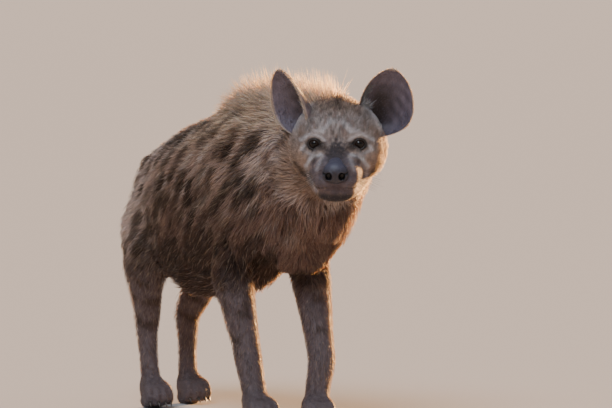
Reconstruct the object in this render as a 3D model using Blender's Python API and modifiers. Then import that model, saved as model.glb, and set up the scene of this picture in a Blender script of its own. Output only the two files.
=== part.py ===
"""A spotted hyena, life size, standing with its head turned to its right.

Metres, +Z up. The animal heads along -Y, its left side is +X and its paws stand on z = 0.
The flesh is made of lofts and ellipsoids out to the level of the short coat. They are fused,
smoothed and thinned, then parted by box-shaped cuts into the nodes that a person would name.
The mane, ruff, breast, belly fringe and tail tuft are flat, tapered locks that lie over one
another, fused with the node that they grow from.
"""

import math

import bmesh
import bpy
import numpy as np
from mathutils import Euler, Matrix, Vector
from mathutils.bvhtree import BVHTree

# Gap left between neighbouring nodes
GAP = 0.0003

# Fineness: size of a voxel, smoothing rounds, share of the faces kept
BODY_GRAIN = (0.0075, 12, 0.034)
HEAD_GRAIN = (0.0040, 8, 0.032)
PAW_GRAIN = (0.0040, 4, 0.018)

# The head's own frame: forward, left and up from the middle between the eyes
EYE_MIDDLE = Vector((-0.035, -0.36, 0.645))
HEAD_TURN = math.radians(30.5)
HEAD_NOD = math.radians(10)
HEAD_BACK = -0.128

# The neck ends on a plane that slopes from the withers down to the breast
NECK_END = Vector((0, -0.030, 0.760))
NECK_SLOPE = Vector((0, -0.910, 0.414))

EYE_RADIUS = 0.0150
EYE_SPOT = (0.0015, 0.0478, 0.000)
EYE_ASIDE = math.radians(12)
EYE_OPENING = (0.0136, 0.0106)

# The box of the nose pad in the head's frame
NOSE_ROOM = ((0.090, -0.032, -0.068), (0.140, 0.032, 0.000))

# Depth and half height of the line between the lips
MOUTH_LINE = (0.0065, 0.0016)

EAR_HEIGHT = 0.124
EAR_SKIN = 0.0045
EAR_ROOT = 0.022
EAR_BASE = (-0.066, 0.101, 0.030)
# Share of the height, half width, half angle of the cup in degrees, shift towards the skull
EAR_PROFILE = [
    (-0.26, 0.026, 105, 0.034),
    (-0.14, 0.044, 98, 0.017),
    (0.02, 0.055, 84, 0.004),
    (0.22, 0.060, 70, 0.000),
    (0.42, 0.058, 60, 0.000),
    (0.62, 0.0505, 52, 0.000),
    (0.80, 0.0375, 44, 0.000),
    (0.92, 0.0225, 36, 0.000),
    (0.985, 0.0100, 28, 0.000),
]
# By side: lean away from the head's middle, turn of the opening outwards, lean back
EAR_SET = {-1: (14, 52, 4), 1: (9, 6, 4)}

# Each leg's ground plan: where the paw, the joint above it and the elbow or knee stand, and how the toes turn
FORE = {
    "right": {"foot": (-0.060, -0.025), "wrist": (-0.065, 0.005), "elbow": (-0.090, 0.045), "toes": 6},
    "left": {"foot": (0.050, -0.100), "wrist": (0.070, -0.092), "elbow": (0.090, 0.005), "toes": 16},
}
HIND = {
    "right": {"foot": (-0.062, 0.495), "hock": (-0.062, 0.530), "knee": (-0.092, 0.460), "toes": 4},
    "left": {"foot": (0.066, 0.560), "hock": (0.068, 0.578), "knee": (0.094, 0.475), "toes": -4},
}
FORE_ANKLE = 0.052
HIND_ANKLE = 0.052
# Name of the leg's node, its room from front to back, where it ends above and where its paw begins
LEG_ROOMS = (("foreleg", (-0.3, 0.084), 0.303, FORE_ANKLE), ("hindleg", (0.370, 0.8), 0.325, HIND_ANKLE))
TOE_SPREAD = 0.0170

TAIL_START = 0.612

# Locks of the long coat: length, width, thickness, how far the tip stands off as a share of the length
LOCK_SIZES = {
    "nape": (0.054, 0.028, 0.0070, 0.90),
    "mane": (0.077, 0.034, 0.0080, 0.92),
    "withers": (0.058, 0.034, 0.0070, 0.68),
    "back": (0.072, 0.036, 0.0065, 0.15),
    "ruff": (0.105, 0.046, 0.0070, 0.13),
    "breast": (0.092, 0.046, 0.0070, 0.15),
    "rump": (0.080, 0.038, 0.0065, 0.12),
    "belly": (0.074, 0.044, 0.0065, 0.30),
    "leg": (0.052, 0.026, 0.0060, 0.22),
    "tail": (0.100, 0.032, 0.0065, 0.20),
}
# Locks that follow the skin and leave it slowly; the others rise straight from their roots
LYING_LOCKS = ("back", "ruff", "breast", "rump")
# Along a lock: where its rings are, and the share of its width and thickness there
LOCK_SHAPE = ((0.0, 0.85, 1.00), (0.38, 1.00, 0.90), (0.74, 0.58, 0.60))
LOCK_STEPS = np.array([row[0] for row in LOCK_SHAPE] + [1.0])
LOCK_SUNK = 0.012
LOCK_CLEAR = 0.0004
# The ruff's rows run from the shoulders to the head along this line inside the neck
RUFF_START = (0, 0.045, 0.560)
RUFF_END = (0.036, -0.222, 0.650)
LOCK_SEED = 11

SIDES = (("right", -1), ("left", 1))

COLOURS = {
    "coat": ((0.30, 0.22, 0.15), 0.85),
    "legs": ((0.14, 0.10, 0.07), 0.85),
    "face": ((0.20, 0.15, 0.12), 0.80),
    "ear": ((0.08, 0.065, 0.06), 0.80),
    "eye": ((0.02, 0.012, 0.008), 0.08),
    "nose": ((0.015, 0.016, 0.020), 0.35),
    "tail": ((0.05, 0.035, 0.028), 0.85),
}


def clear_scene():
    for item in list(bpy.data.objects):
        bpy.data.objects.remove(item)
    for group in list(bpy.data.collections):
        bpy.data.collections.remove(group)


def collection(name, hidden=False):
    group = bpy.data.collections.new(name)
    bpy.context.scene.collection.children.link(group)
    group.hide_render = hidden
    return group


def material(name):
    colour, roughness = COLOURS[name]
    made = bpy.data.materials.new(name)
    made.use_nodes = True
    shader = made.node_tree.nodes["Principled BSDF"]
    shader.inputs["Base Color"].default_value = (*colour, 1)
    shader.inputs["Roughness"].default_value = roughness
    return made


def smooth_rows(rows, count):
    """Rows of sizes read at count even steps of a Catmull-Rom curve through them."""
    rows = np.asarray(rows, float)
    padded = np.vstack([2 * rows[0] - rows[1], rows, 2 * rows[-1] - rows[-2]])
    place = np.linspace(0, len(rows) - 1, count)
    cell = np.minimum(place.astype(int), len(rows) - 2)
    t = (place - cell)[:, None]
    a, b, c, d = (padded[cell + k] for k in range(4))
    return 0.5 * (2 * b + (c - a) * t + (2 * a - 5 * b + 4 * c - d) * t**2 + (3 * b - a - 3 * c + d) * t**3)


def closed_mesh(name, grid, ends):
    """A closed surface from a grid of rings, with a pole point at each end."""
    count, segments = grid.shape[:2]
    cell = np.arange(count * segments).reshape(count, segments)
    following = np.roll(cell, -1, axis=1)
    quads = np.stack([cell[:-1], following[:-1], following[1:], cell[1:]], axis=-1).reshape(-1, 4)
    poles = count * segments
    first = np.stack([np.full(segments, poles), following[0], cell[0]], axis=-1)
    last = np.stack([np.full(segments, poles + 1), cell[-1], following[-1]], axis=-1)
    mesh = bpy.data.meshes.new(name)
    points = np.vstack([grid.reshape(-1, 3), ends])
    mesh.from_pydata(points.tolist(), [], quads.tolist() + first.tolist() + last.tolist())
    turned = bmesh.new()
    turned.from_mesh(mesh)
    bmesh.ops.recalc_face_normals(turned, faces=turned.faces)
    turned.to_mesh(mesh)
    turned.free()
    return mesh


def loft(rows, side=(1, 0, 0), rings=14, segments=20, caps=(0.03, 0.03)):
    """A closed loft along a smooth path, its ends rounded by caps.

    A row is x, y, z, half width, height above, depth below, squareness. The half width runs
    along side, and a section is a superellipse whose upper and lower halves differ in height.
    """
    body = smooth_rows(rows, rings)
    centre, half = body[:, :3], body[:, 3:6]
    power = 2 / body[:, 6]
    along = np.gradient(centre, axis=0)
    along /= np.linalg.norm(along, axis=1)[:, None]
    side = np.asarray(side, float) - along * (along @ np.asarray(side, float))[:, None]
    side /= np.linalg.norm(side, axis=1)[:, None]
    up = np.cross(side, along)
    turn = np.linspace(0, math.pi / 2, 5)[1:-1]
    first = [(0, -caps[0] * math.sin(a), math.cos(a)) for a in turn[::-1]]
    last = [(rings - 1, caps[1] * math.sin(a), math.cos(a)) for a in turn]
    ring = [*first, *((k, 0, 1) for k in range(rings)), *last]
    index = np.array([r[0] for r in ring])
    push = np.array([r[1] for r in ring])[:, None]
    scale = np.array([r[2] for r in ring])[:, None]
    angle = np.linspace(0, 2 * math.pi, segments, endpoint=False)
    c, s = np.cos(angle), np.sin(angle)
    p = power[index][:, None]
    across = np.sign(c) * np.abs(c) ** p * half[index, 0][:, None] * scale
    rise = np.where(s > 0, half[index, 1][:, None], half[index, 2][:, None])
    rise = np.sign(s) * np.abs(s) ** p * rise * scale
    middle = centre[index] + along[index] * push
    grid = middle[:, None] + across[..., None] * side[index][:, None] + rise[..., None] * up[index][:, None]
    ends = centre[[0, -1]] + along[[0, -1]] * np.array([[-caps[0]], [caps[1]]])
    return closed_mesh("loft", grid, ends)


def ellipsoid(place, half, turn=(0, 0, 0), segments=20, rings=12):
    """A sphere stretched to three half sizes, turned by Euler degrees and put at a place."""
    made = bmesh.new()
    spin = Euler([math.radians(a) for a in turn]).to_matrix().to_4x4()
    matrix = Matrix.Translation(place) @ spin @ Matrix.Diagonal((*half, 1))
    bmesh.ops.create_uvsphere(made, u_segments=segments, v_segments=rings, radius=1, matrix=matrix)
    mesh = bpy.data.meshes.new("ellipsoid")
    made.to_mesh(mesh)
    made.free()
    return mesh


def moved(mesh, matrix):
    mesh.transform(matrix)
    return mesh


def frame_at(place, forward, up):
    """A matrix that carries forward, left and up from a place, with forward kept exact."""
    forward = Vector(forward).normalized()
    left = Vector(up).cross(forward).normalized()
    turn = Matrix((forward, left, forward.cross(left))).transposed()
    return Matrix.Translation(place) @ turn.to_4x4()


def head_matrix():
    flat = Vector((-math.sin(HEAD_TURN), -math.cos(HEAD_TURN), 0))
    forward = flat * math.cos(HEAD_NOD) - Vector((0, 0, math.sin(HEAD_NOD)))
    return frame_at(EYE_MIDDLE, forward, (0, 0, 1))


def torso_forms():
    """The barrel of the body, with the shoulders, breast and rump that swell from it."""
    barrel = [
        (0, -0.085, 0.500, 0.090, 0.150, 0.110, 2.1),
        (0, -0.020, 0.515, 0.125, 0.210, 0.150, 2.2),
        (0, 0.060, 0.515, 0.142, 0.215, 0.180, 2.2),
        (0, 0.160, 0.500, 0.144, 0.207, 0.215, 2.2),
        (0, 0.270, 0.485, 0.146, 0.197, 0.220, 2.2),
        (0, 0.370, 0.475, 0.136, 0.180, 0.200, 2.2),
        (0, 0.460, 0.475, 0.116, 0.150, 0.150, 2.2),
        (0, 0.540, 0.458, 0.092, 0.122, 0.120, 2.1),
        (0, 0.595, 0.445, 0.062, 0.085, 0.090, 2.0),
    ]
    forms = [loft(barrel, rings=26, segments=28, caps=(0.06, 0.030))]
    for _, sign in SIDES:
        forms.append(ellipsoid((0.080 * sign, 0.015, 0.560), (0.052, 0.085, 0.150), (-18, 0, 0)))
        forms.append(ellipsoid((0.086 * sign, 0.000, 0.440), (0.050, 0.080, 0.115), (20, 0, 0)))
    forms.append(ellipsoid((0.022, -0.085, 0.440), (0.104, 0.072, 0.110)))
    return forms


def neck_forms():
    rows = [
        (0.004, 0.060, 0.560, 0.126, 0.165, 0.150, 2.1),
        (0.012, -0.040, 0.575, 0.128, 0.165, 0.180, 2.1),
        (0.024, -0.130, 0.600, 0.120, 0.140, 0.180, 2.1),
        (0.026, -0.200, 0.625, 0.106, 0.105, 0.150, 2.1),
        (0.012, -0.265, 0.635, 0.092, 0.082, 0.115, 2.1),
    ]
    ruff = ellipsoid((0.040, -0.145, 0.490), (0.086, 0.085, 0.095))
    return [loft(rows, side=(-1, 0, 0), rings=14, segments=24, caps=(0.04, 0.03)), ruff]


def head_forms():
    """Skull, muzzle, lower jaw, cheeks, brows and whisker pads; a row starts forward, left, up."""
    skull = [
        (-0.150, 0, -0.015, 0.062, 0.045, 0.060, 2.0),
        (-0.110, 0, -0.008, 0.088, 0.082, 0.080, 2.1),
        (-0.060, 0, -0.004, 0.100, 0.090, 0.088, 2.1),
        (-0.025, 0, -0.006, 0.092, 0.076, 0.080, 2.1),
        (0.000, 0, -0.018, 0.068, 0.048, 0.060, 2.2),
        (0.016, 0, -0.026, 0.046, 0.034, 0.040, 2.2),
    ]
    muzzle = [
        (-0.020, 0, -0.035, 0.074, 0.052, 0.046, 2.2),
        (0.020, 0, -0.042, 0.065, 0.047, 0.044, 2.3),
        (0.060, 0, -0.048, 0.057, 0.039, 0.038, 2.4),
        (0.090, 0, -0.052, 0.050, 0.033, 0.031, 2.4),
    ]
    jaw = [
        (-0.075, 0, -0.072, 0.078, 0.040, 0.044, 2.2),
        (-0.010, 0, -0.082, 0.068, 0.034, 0.038, 2.2),
        (0.045, 0, -0.089, 0.054, 0.026, 0.029, 2.2),
        (0.078, 0, -0.090, 0.043, 0.020, 0.024, 2.2),
    ]
    side = (0, -1, 0)
    forms = [
        loft(skull, side, rings=20, segments=24, caps=(0.025, 0.010)),
        loft(muzzle, side, rings=12, segments=24, caps=(0.02, 0.010)),
        loft(jaw, side, rings=12, segments=20, caps=(0.02, 0.014)),
    ]
    for _, sign in SIDES:
        forms.append(ellipsoid((-0.052, 0.058 * sign, -0.022), (0.076, 0.048, 0.064), (0, 16, 0)))
        forms.append(ellipsoid((-0.008, 0.046 * sign, 0.020), (0.018, 0.030, 0.014), (0, 20, 14 * sign)))
        forms.append(ellipsoid((0.064, 0.026 * sign, -0.061), (0.046, 0.029, 0.023), (0, 6, -6 * sign)))
    matrix = head_matrix()
    return [moved(m, matrix) for m in forms]


def neck_matrix():
    """The frame of the neck's end: forward leaves the shoulders."""
    return frame_at(NECK_END, NECK_SLOPE, (0, 0, 1))


def tail_forms():
    rows = [
        (0, 0.560, 0.545, 0.034, 0.034, 0.040, 2.0),
        (0, 0.625, 0.515, 0.026, 0.026, 0.028, 2.0),
        (0, 0.662, 0.450, 0.021, 0.021, 0.022, 2.0),
        (0, 0.670, 0.390, 0.024, 0.024, 0.024, 2.0),
        (0, 0.668, 0.330, 0.027, 0.027, 0.027, 2.0),
        (0, 0.660, 0.270, 0.016, 0.016, 0.016, 2.0),
    ]
    return [loft(rows, rings=18, segments=14, caps=(0.02, 0.03))]


def between(a, b, share):
    """A ground point a share of the way from a to b."""
    return (a[0] + (b[0] - a[0]) * share, a[1] + (b[1] - a[1]) * share)


def foreleg_rows(plan):
    """Upper arm, forearm, wrist and metacarpus, down to the paw."""
    foot, wrist, elbow = plan["foot"], plan["wrist"], plan["elbow"]
    return [
        (elbow[0] * 0.9, elbow[1] - 0.03, 0.430, 0.050, 0.060, 0.062, 2.0),
        (*elbow, 0.350, 0.047, 0.055, 0.058, 2.0),
        (*between(elbow, wrist, 0.40), 0.275, 0.043, 0.046, 0.048, 2.0),
        (*between(elbow, wrist, 0.80), 0.195, 0.037, 0.037, 0.037, 2.0),
        (*wrist, 0.145, 0.036, 0.036, 0.036, 2.0),
        (*between(wrist, foot, 0.50), 0.095, 0.034, 0.031, 0.031, 2.0),
        (*between(wrist, foot, 0.95), 0.040, 0.034, 0.030, 0.030, 2.0),
    ]


def hindleg_rows(plan):
    """Thigh, shank, hock and metatarsus, down to the paw."""
    foot, hock, knee = plan["foot"], plan["hock"], plan["knee"]
    return [
        (knee[0] * 0.78, knee[1] + 0.020, 0.490, 0.046, 0.070, 0.100, 2.0),
        (knee[0] * 0.90, knee[1] + 0.020, 0.430, 0.052, 0.085, 0.095, 2.0),
        (knee[0] * 0.98, knee[1] + 0.015, 0.355, 0.047, 0.075, 0.075, 2.0),
        (*between(knee, hock, 0.50), 0.280, 0.040, 0.052, 0.050, 2.0),
        (hock[0], hock[1] - 0.012, 0.210, 0.033, 0.037, 0.036, 2.0),
        (hock[0], hock[1] - 0.010, 0.165, 0.0285, 0.031, 0.030, 2.0),
        (*between(hock, foot, 0.55), 0.105, 0.0265, 0.026, 0.026, 2.0),
        (*between(hock, foot, 0.90), 0.040, 0.031, 0.028, 0.028, 2.0),
    ]


def leg_form(rows):
    return loft(rows, rings=24, segments=18, caps=(0.03, 0.01))


def paw_forms(plan, size):
    """Four toes side by side and the pad behind them, reaching just under the floor's level."""
    forms = []
    for spread in (-1.5, -0.5, 0.5, 1.5):
        reach = 0.050 if abs(spread) < 1 else 0.038
        aside = spread * TOE_SPREAD
        rows = [
            (aside * 0.7, 0.010, 0.036, 0.012, 0.014, 0.034, 2.0),
            (aside * 0.95, -0.020, 0.035, 0.0130, 0.015, 0.038, 2.2),
            (aside * 1.05, -reach, 0.018, 0.0130, 0.013, 0.026, 2.4),
        ]
        forms.append(loft(rows, rings=8, segments=12, caps=(0.01, 0.013)))
    forms.append(ellipsoid((0, 0.000, 0.016), (0.031, 0.032, 0.026)))
    matrix = paw_matrix(plan, size)
    return [moved(m, matrix) for m in forms]


def paw_matrix(plan, size):
    x, y = plan["foot"]
    turn = Matrix.Rotation(math.radians(-plan["toes"]), 4, "Z")
    return Matrix.Translation((x, y, 0)) @ turn @ Matrix.Diagonal((size, size, 1, 1))


def claws(plan, size):
    """One blunt claw in front of each toe."""
    made = bmesh.new()
    for spread in (-1.5, -0.5, 0.5, 1.5):
        reach = 0.060 if abs(spread) < 1 else 0.048
        place = Matrix.Translation((spread * TOE_SPREAD * 1.05, -reach, 0.013))
        tip_down = Matrix.Rotation(math.radians(70), 4, "X")
        stretch = Matrix.Diagonal((0.75, 1, 1, 1))
        matrix = paw_matrix(plan, size) @ place @ tip_down @ stretch
        bmesh.ops.create_cone(
            made, cap_ends=True, segments=8, radius1=0.0058, radius2=0.0020, depth=0.024, matrix=matrix
        )
    mesh = bpy.data.meshes.new("claws")
    made.to_mesh(mesh)
    made.free()
    return mesh


def ear_matrix(sign):
    """The ear's frame: forward is where the cup opens, up runs to the tip."""
    lean, open_out, tip_back = EAR_SET[sign]
    spin = Matrix.Rotation(math.radians(open_out) * sign, 4, "Z")
    spin = Matrix.Rotation(-math.radians(lean) * sign, 4, "X") @ spin
    spin = Matrix.Rotation(-math.radians(tip_back), 4, "Y") @ spin
    base = Matrix.Translation((EAR_BASE[0], EAR_BASE[1] * sign, EAR_BASE[2]))
    return head_matrix() @ base @ spin


def ear_form(sign, rings=11, across=7):
    """A cup: at each height an arc of a circle, with the skin's thickness between two such arcs."""
    profile = smooth_rows(EAR_PROFILE, rings)
    share = np.linspace(-1, 1, across)
    grid = []
    for height, half, opening, inward in profile:
        angle = math.radians(opening)
        radius = half / math.sin(min(angle, math.pi / 2))
        skin = EAR_SKIN * (1.25 - 0.85 * max(height, 0))
        inner = [(-radius * (math.cos(a) - math.cos(angle)), radius * math.sin(a)) for a in share * angle]
        outer_radius = radius + skin
        wide = share[::-1] * (angle + 0.3 * skin / radius)
        back = radius * math.cos(angle)
        outer = [(back - outer_radius * math.cos(a), outer_radius * math.sin(a)) for a in wide]
        grid.append([(f, l - inward * sign, height * EAR_HEIGHT) for f, l in inner + outer])
    grid = np.array(grid)
    lowest = grid[0].mean(axis=0)
    tip = grid[-1].mean(axis=0) + (0, 0, 0.004)
    mesh = closed_mesh("ear", grid, np.array([lowest, tip]))
    return moved(mesh, ear_matrix(sign))


def nose_forms():
    """The rounded pad and the bare skin that runs from it up on to the bridge."""
    matrix = head_matrix()
    pad = ellipsoid((0.100, 0, -0.043), (0.0210, 0.0275, 0.0250), segments=16, rings=8)
    top = ellipsoid((0.088, 0, -0.028), (0.0240, 0.0230, 0.0120), (0, 12, 0), segments=12, rings=6)
    return [moved(pad, matrix), moved(top, matrix)]


def nostril_cutters():
    """A round hollow in front and a slit that curls out from it, on each side."""
    forms = []
    for _, sign in SIDES:
        hollow = ellipsoid((0.1170, 0.0140 * sign, -0.0480), (0.010, 0.0060, 0.0072), (0, 0, 0), 10, 6)
        slit = ellipsoid((0.1100, 0.0220 * sign, -0.0435), (0.010, 0.0070, 0.0028), (24 * sign, 0, 0), 10, 6)
        forms += [hollow, slit]
    matrix = head_matrix()
    return [moved(m, matrix) for m in forms]


def mouth_cutter():
    """A thin tube whose path follows the line between the lips, from corner to corner."""
    left = [(-0.012, 0.076, -0.071), (0.030, 0.060, -0.080), (0.074, 0.047, -0.080), (0.104, 0.022, -0.079)]
    points = [(f, -aside, u) for f, aside, u in left] + [(0.110, 0, -0.079)] + left[::-1]
    count = 26
    centre = smooth_rows(points, count)
    along = np.gradient(centre, axis=0)
    along /= np.linalg.norm(along, axis=1)[:, None]
    out = np.cross(along, (0, 0, 1.0))
    out /= np.linalg.norm(out, axis=1)[:, None]
    up = np.cross(out, along)
    angle = np.linspace(0, 2 * math.pi, 8, endpoint=False)
    order = np.arange(count)
    fade = np.clip(np.minimum(order, order[::-1]) / 4, 0.25, 1)[:, None, None]
    depth, half_height = MOUTH_LINE
    wide = np.cos(angle)[None, :, None] * out[:, None] * depth * fade
    tall = np.sin(angle)[None, :, None] * up[:, None] * half_height * fade
    ends = centre[[0, -1]] - along[[0, -1]] * [[0.002], [-0.002]]
    mesh = closed_mesh("mouth", centre[:, None] + wide + tall, ends)
    return moved(mesh, head_matrix())


def eye_matrix(sign):
    """The eye's frame: forward is where it looks, a little to its own side."""
    turn = Matrix.Rotation(EYE_ASIDE * sign, 4, "Z")
    spot = Matrix.Translation((EYE_SPOT[0], EYE_SPOT[1] * sign, EYE_SPOT[2]))
    level = Matrix.Rotation(-HEAD_NOD * 0.5, 4, "Y")
    return head_matrix() @ spot @ turn @ level


def eye_ball(sign, radius):
    upright = Matrix.Rotation(math.radians(90), 4, "Y")
    ball = ellipsoid((0, 0, 0), (radius, radius, radius), segments=14, rings=9)
    return moved(moved(ball, upright), eye_matrix(sign))


def lid_form(sign):
    """A low mound of flesh round the eye that the lids' opening is cut from."""
    mound = ellipsoid((-0.0015, 0, 0), (EYE_RADIUS + 0.0020, EYE_RADIUS + 0.0055, EYE_RADIUS + 0.0025))
    return moved(mound, eye_matrix(sign))


def lid_opening(sign):
    """An almond that widens away from the eye, cut through the lids."""
    wide, tall = EYE_OPENING
    rows = [
        (0.004, 0, 0, wide * 0.75, tall * 0.75, tall * 0.75, 1.7),
        (0.012, 0, 0, wide * 1.00, tall * 1.00, tall * 1.00, 1.7),
        (0.030, 0, 0, wide * 1.50, tall * 1.50, tall * 1.50, 1.7),
    ]
    cone = loft(rows, side=(0, 1, 0), rings=4, segments=16, caps=(0.001, 0.001))
    return moved(cone, eye_matrix(sign) @ Matrix.Rotation(math.radians(8) * sign, 4, "X"))


def object_from(name, meshes, group):
    """One object holding all the meshes, not yet joined into one surface."""
    joined = bmesh.new()
    for mesh in meshes:
        joined.from_mesh(mesh)
        bpy.data.meshes.remove(mesh)
    whole = bpy.data.meshes.new(name)
    joined.to_mesh(whole)
    joined.free()
    obj = bpy.data.objects.new(name, whole)
    group.objects.link(obj)
    return obj


def apply_modifiers(obj):
    graph = bpy.context.evaluated_depsgraph_get()
    final = bpy.data.meshes.new_from_object(obj.evaluated_get(graph))
    obj.modifiers.clear()
    obj.data = final


def fused(name, meshes, grain, group):
    """One closed surface round all the meshes, smoothed and then thinned."""
    voxel, rounds, share = grain
    obj = object_from(name, meshes, group)
    remesh = obj.modifiers.new("Remesh", "REMESH")
    remesh.mode = "VOXEL"
    remesh.voxel_size = voxel
    soften = obj.modifiers.new("Smooth", "SMOOTH")
    soften.factor = 0.5
    soften.iterations = rounds
    thin = obj.modifiers.new("Decimate", "DECIMATE")
    thin.ratio = share
    apply_modifiers(obj)
    return obj


def combine(obj, other, operation, solver="EXACT"):
    """A Boolean of obj with another object, applied; the other object is removed."""
    joint = obj.modifiers.new("Boolean", "BOOLEAN")
    joint.operation = operation
    joint.solver = solver
    joint.object = other
    apply_modifiers(obj)
    bpy.data.objects.remove(other)


def box(name, low, high, matrix, group):
    """A box between two corners of a frame."""
    made = bmesh.new()
    bmesh.ops.create_cube(made, size=1)
    low, high = Vector(low), Vector(high)
    place = Matrix.Translation((low + high) / 2) @ Matrix.Diagonal((*(high - low), 1))
    bmesh.ops.transform(made, matrix=matrix @ place, verts=made.verts)
    mesh = bpy.data.meshes.new(name)
    made.to_mesh(mesh)
    made.free()
    obj = bpy.data.objects.new(name, mesh)
    group.objects.link(obj)
    return obj


def keep_largest(obj):
    """Removes every closed surface of an object but its largest, also one that touches it along an edge."""
    made = bmesh.new()
    made.from_mesh(obj.data)
    left = set(made.faces)
    islands = []
    while left:
        island = {left.pop()}
        rim = list(island)
        while rim:
            sides = [edge.link_faces for old in rim for edge in old.edges if len(edge.link_faces) == 2]
            near = {face for pair in sides for face in pair} & left
            left -= near
            island |= near
            rim = list(near)
        islands.append(island)
    islands.sort(key=len, reverse=True)
    for island in islands[1:]:
        bmesh.ops.delete(made, geom=list(island), context="FACES")
    bmesh.ops.triangulate(made, faces=made.faces)
    made.to_mesh(obj.data)
    made.free()


def cut_out(source, name, low, high, matrix, work, parts):
    """The part of source inside a box becomes a node, and source loses it with the gap."""
    piece = bpy.data.objects.new(name, source.data.copy())
    parts.objects.link(piece)
    grow = Vector((GAP, GAP, GAP))
    combine(piece, box("inside", low, high, matrix, work), "INTERSECT")
    combine(source, box("outside", Vector(low) - grow, Vector(high) + grow, matrix, work), "DIFFERENCE")
    return piece


def on_skin(skin, start, aim):
    """Where a line first meets the skin, with the way that the skin faces there."""
    place, facing, _, _ = skin.ray_cast(Vector(start), Vector(aim).normalized())
    if place is None:
        return None
    return np.array(place), np.array(facing)


def lying_path(skin, place, lie, length, rise):
    """Middle line of a lock that follows the skin and leaves it slowly, with its outward directions."""
    path = []
    outward = []
    spot = place
    way = lie
    last = 0.0
    for t in LOCK_STEPS:
        near, facing, _, _ = skin.find_nearest(Vector(spot + way * (t - last) * length))
        spot = np.array(near)
        facing = np.array(facing)
        way = lie - facing * (lie @ facing)
        way /= np.linalg.norm(way)
        path.append(spot + facing * (rise * t**1.5 - LOCK_SUNK * (1 - t) ** 3))
        outward.append(facing)
        last = t
    return np.array(path), np.array(outward)


def rising_path(place, facing, lie, length, lift):
    """Middle line of a lock that rises from its root and bends to the lie, with its outward directions."""
    flat = math.sqrt(1 - lift**2)
    root = place - facing * LOCK_SUNK - lie * LOCK_SUNK * 0.5
    middle = place + (facing * (0.12 + 0.45 * lift) + lie * 0.45 * flat) * length
    tip = place + (facing * lift + lie * flat) * length
    t = LOCK_STEPS[:, None]
    path = root * (1 - t) ** 2 + middle * 2 * t * (1 - t) + tip * t**2
    return path, np.repeat((facing * flat - lie * lift)[None], len(t), axis=0)


def lock_rings(skin, place, facing, lie, size, draw):
    """Rings of three points along a flat, tapered lock, and its tip."""
    length, width, thickness, lift = LOCK_SIZES[size]
    length *= draw.uniform(0.85, 1.12)
    width *= draw.uniform(0.88, 1.12)
    lift = min(lift * draw.uniform(0.85, 1.15), 0.97)
    lie = np.asarray(lie, float) + draw.normal(0, 0.08, 3)
    lie -= facing * (lie @ facing)
    lie /= np.linalg.norm(lie)
    if size in LYING_LOCKS:
        path, outward = lying_path(skin, place, lie, length, lift * length)
    else:
        path, outward = rising_path(place, facing, lie, length, lift)
    along = np.gradient(path, axis=0)
    along /= np.linalg.norm(along, axis=1)[:, None]
    across = np.cross(along, outward)
    across /= np.linalg.norm(across, axis=1)[:, None]
    if lift > 0.5:
        # An upright lock is turned on its own length, so the crest is full from the side and from in front
        turn = draw.choice((-1, 1)) * draw.uniform(0.5, 1.1)
        across = across * math.cos(turn) + np.cross(along, across) * math.sin(turn)
    outer = np.cross(across, along)
    shape = np.array(LOCK_SHAPE)
    wide = across[:-1] * (shape[:, 1] * width / 2)[:, None]
    deep = outer[:-1] * (shape[:, 2] * thickness)[:, None]
    middle = path[:-1]
    return np.stack([middle + wide, middle + deep, middle - wide], axis=1), path[-1]


def kept_clear(rings, tip, walls):
    """Shifts each ring and the tip back to the near side of every wall, given as place and way in."""
    for wall, inward in walls:
        depth = (rings - wall) @ inward
        rings = rings + np.maximum(LOCK_CLEAR - depth.min(axis=1), 0)[:, None, None] * inward
        tip = tip + max(LOCK_CLEAR - float((tip - wall) @ inward), 0) * inward
    return rings, tip


def lock_mesh(rings, tip):
    back = rings[0].mean(axis=0)
    return closed_mesh("lock", rings, np.array([back, tip]))


def walls_of(node):
    """The cut planes that a node's locks keep clear of."""
    neck = np.array(NECK_END), np.array(NECK_SLOPE.normalized())
    head = head_matrix()
    way = np.array(head.to_3x3() @ Vector((1, 0, 0)))
    back = np.array(head @ Vector((HEAD_BACK, 0, 0)))
    tail = np.array((0, TAIL_START, 0)), np.array((0, 1.0, 0))
    return {
        "neck": [(back, -way), neck],
        "torso": [(neck[0], -neck[1])],
        "tail": [tail],
    }.get(node, [])


def grow_locks(node, skin, roots, draw, group, extra=()):
    """Closed meshes of the locks of one node, as objects of a collection. A root is start, aim, lie, size."""
    walls = [*walls_of(node), *extra]
    for start, aim, lie, size in roots:
        found = on_skin(skin, start, aim)
        if found is None:
            continue
        place, facing = found
        if any((place - wall) @ inward < 0.004 for wall, inward in walls):
            continue
        rings, tip = kept_clear(*lock_rings(skin, place, facing, lie, size, draw), walls)
        object_from("lock", [lock_mesh(rings, tip)], group)


def mane_roots(draw):
    """Upright locks along the crest, from behind the ears to behind the withers."""
    roots = []
    for k, y in enumerate(np.linspace(-0.262, 0.160, 20)):
        middle = 0.020 * math.exp(-(((y + 0.17) / 0.10) ** 2))
        size = "nape" if y < -0.20 else "mane" if y < 0.05 else "withers"
        for x in (-0.026, 0.0, 0.026) if k % 2 else (-0.013, 0.013):
            start = (middle + x + draw.normal(0, 0.003), y + draw.normal(0, 0.003), 1.2)
            roots.append((start, (0, 0, -1), (12 * x, 1, 0), size))
    return roots


def back_roots(draw):
    """Shorter locks down the line of the back, lying to the rear."""
    roots = []
    for k, y in enumerate(np.linspace(0.180, 0.540, 8)):
        for x in (0.0,) if k % 2 else (-0.020, 0.020):
            roots.append(((x + draw.normal(0, 0.003), y, 1.2), (0, 0, -1), (x * 3, 1, 0), "back"))
    return roots


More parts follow.
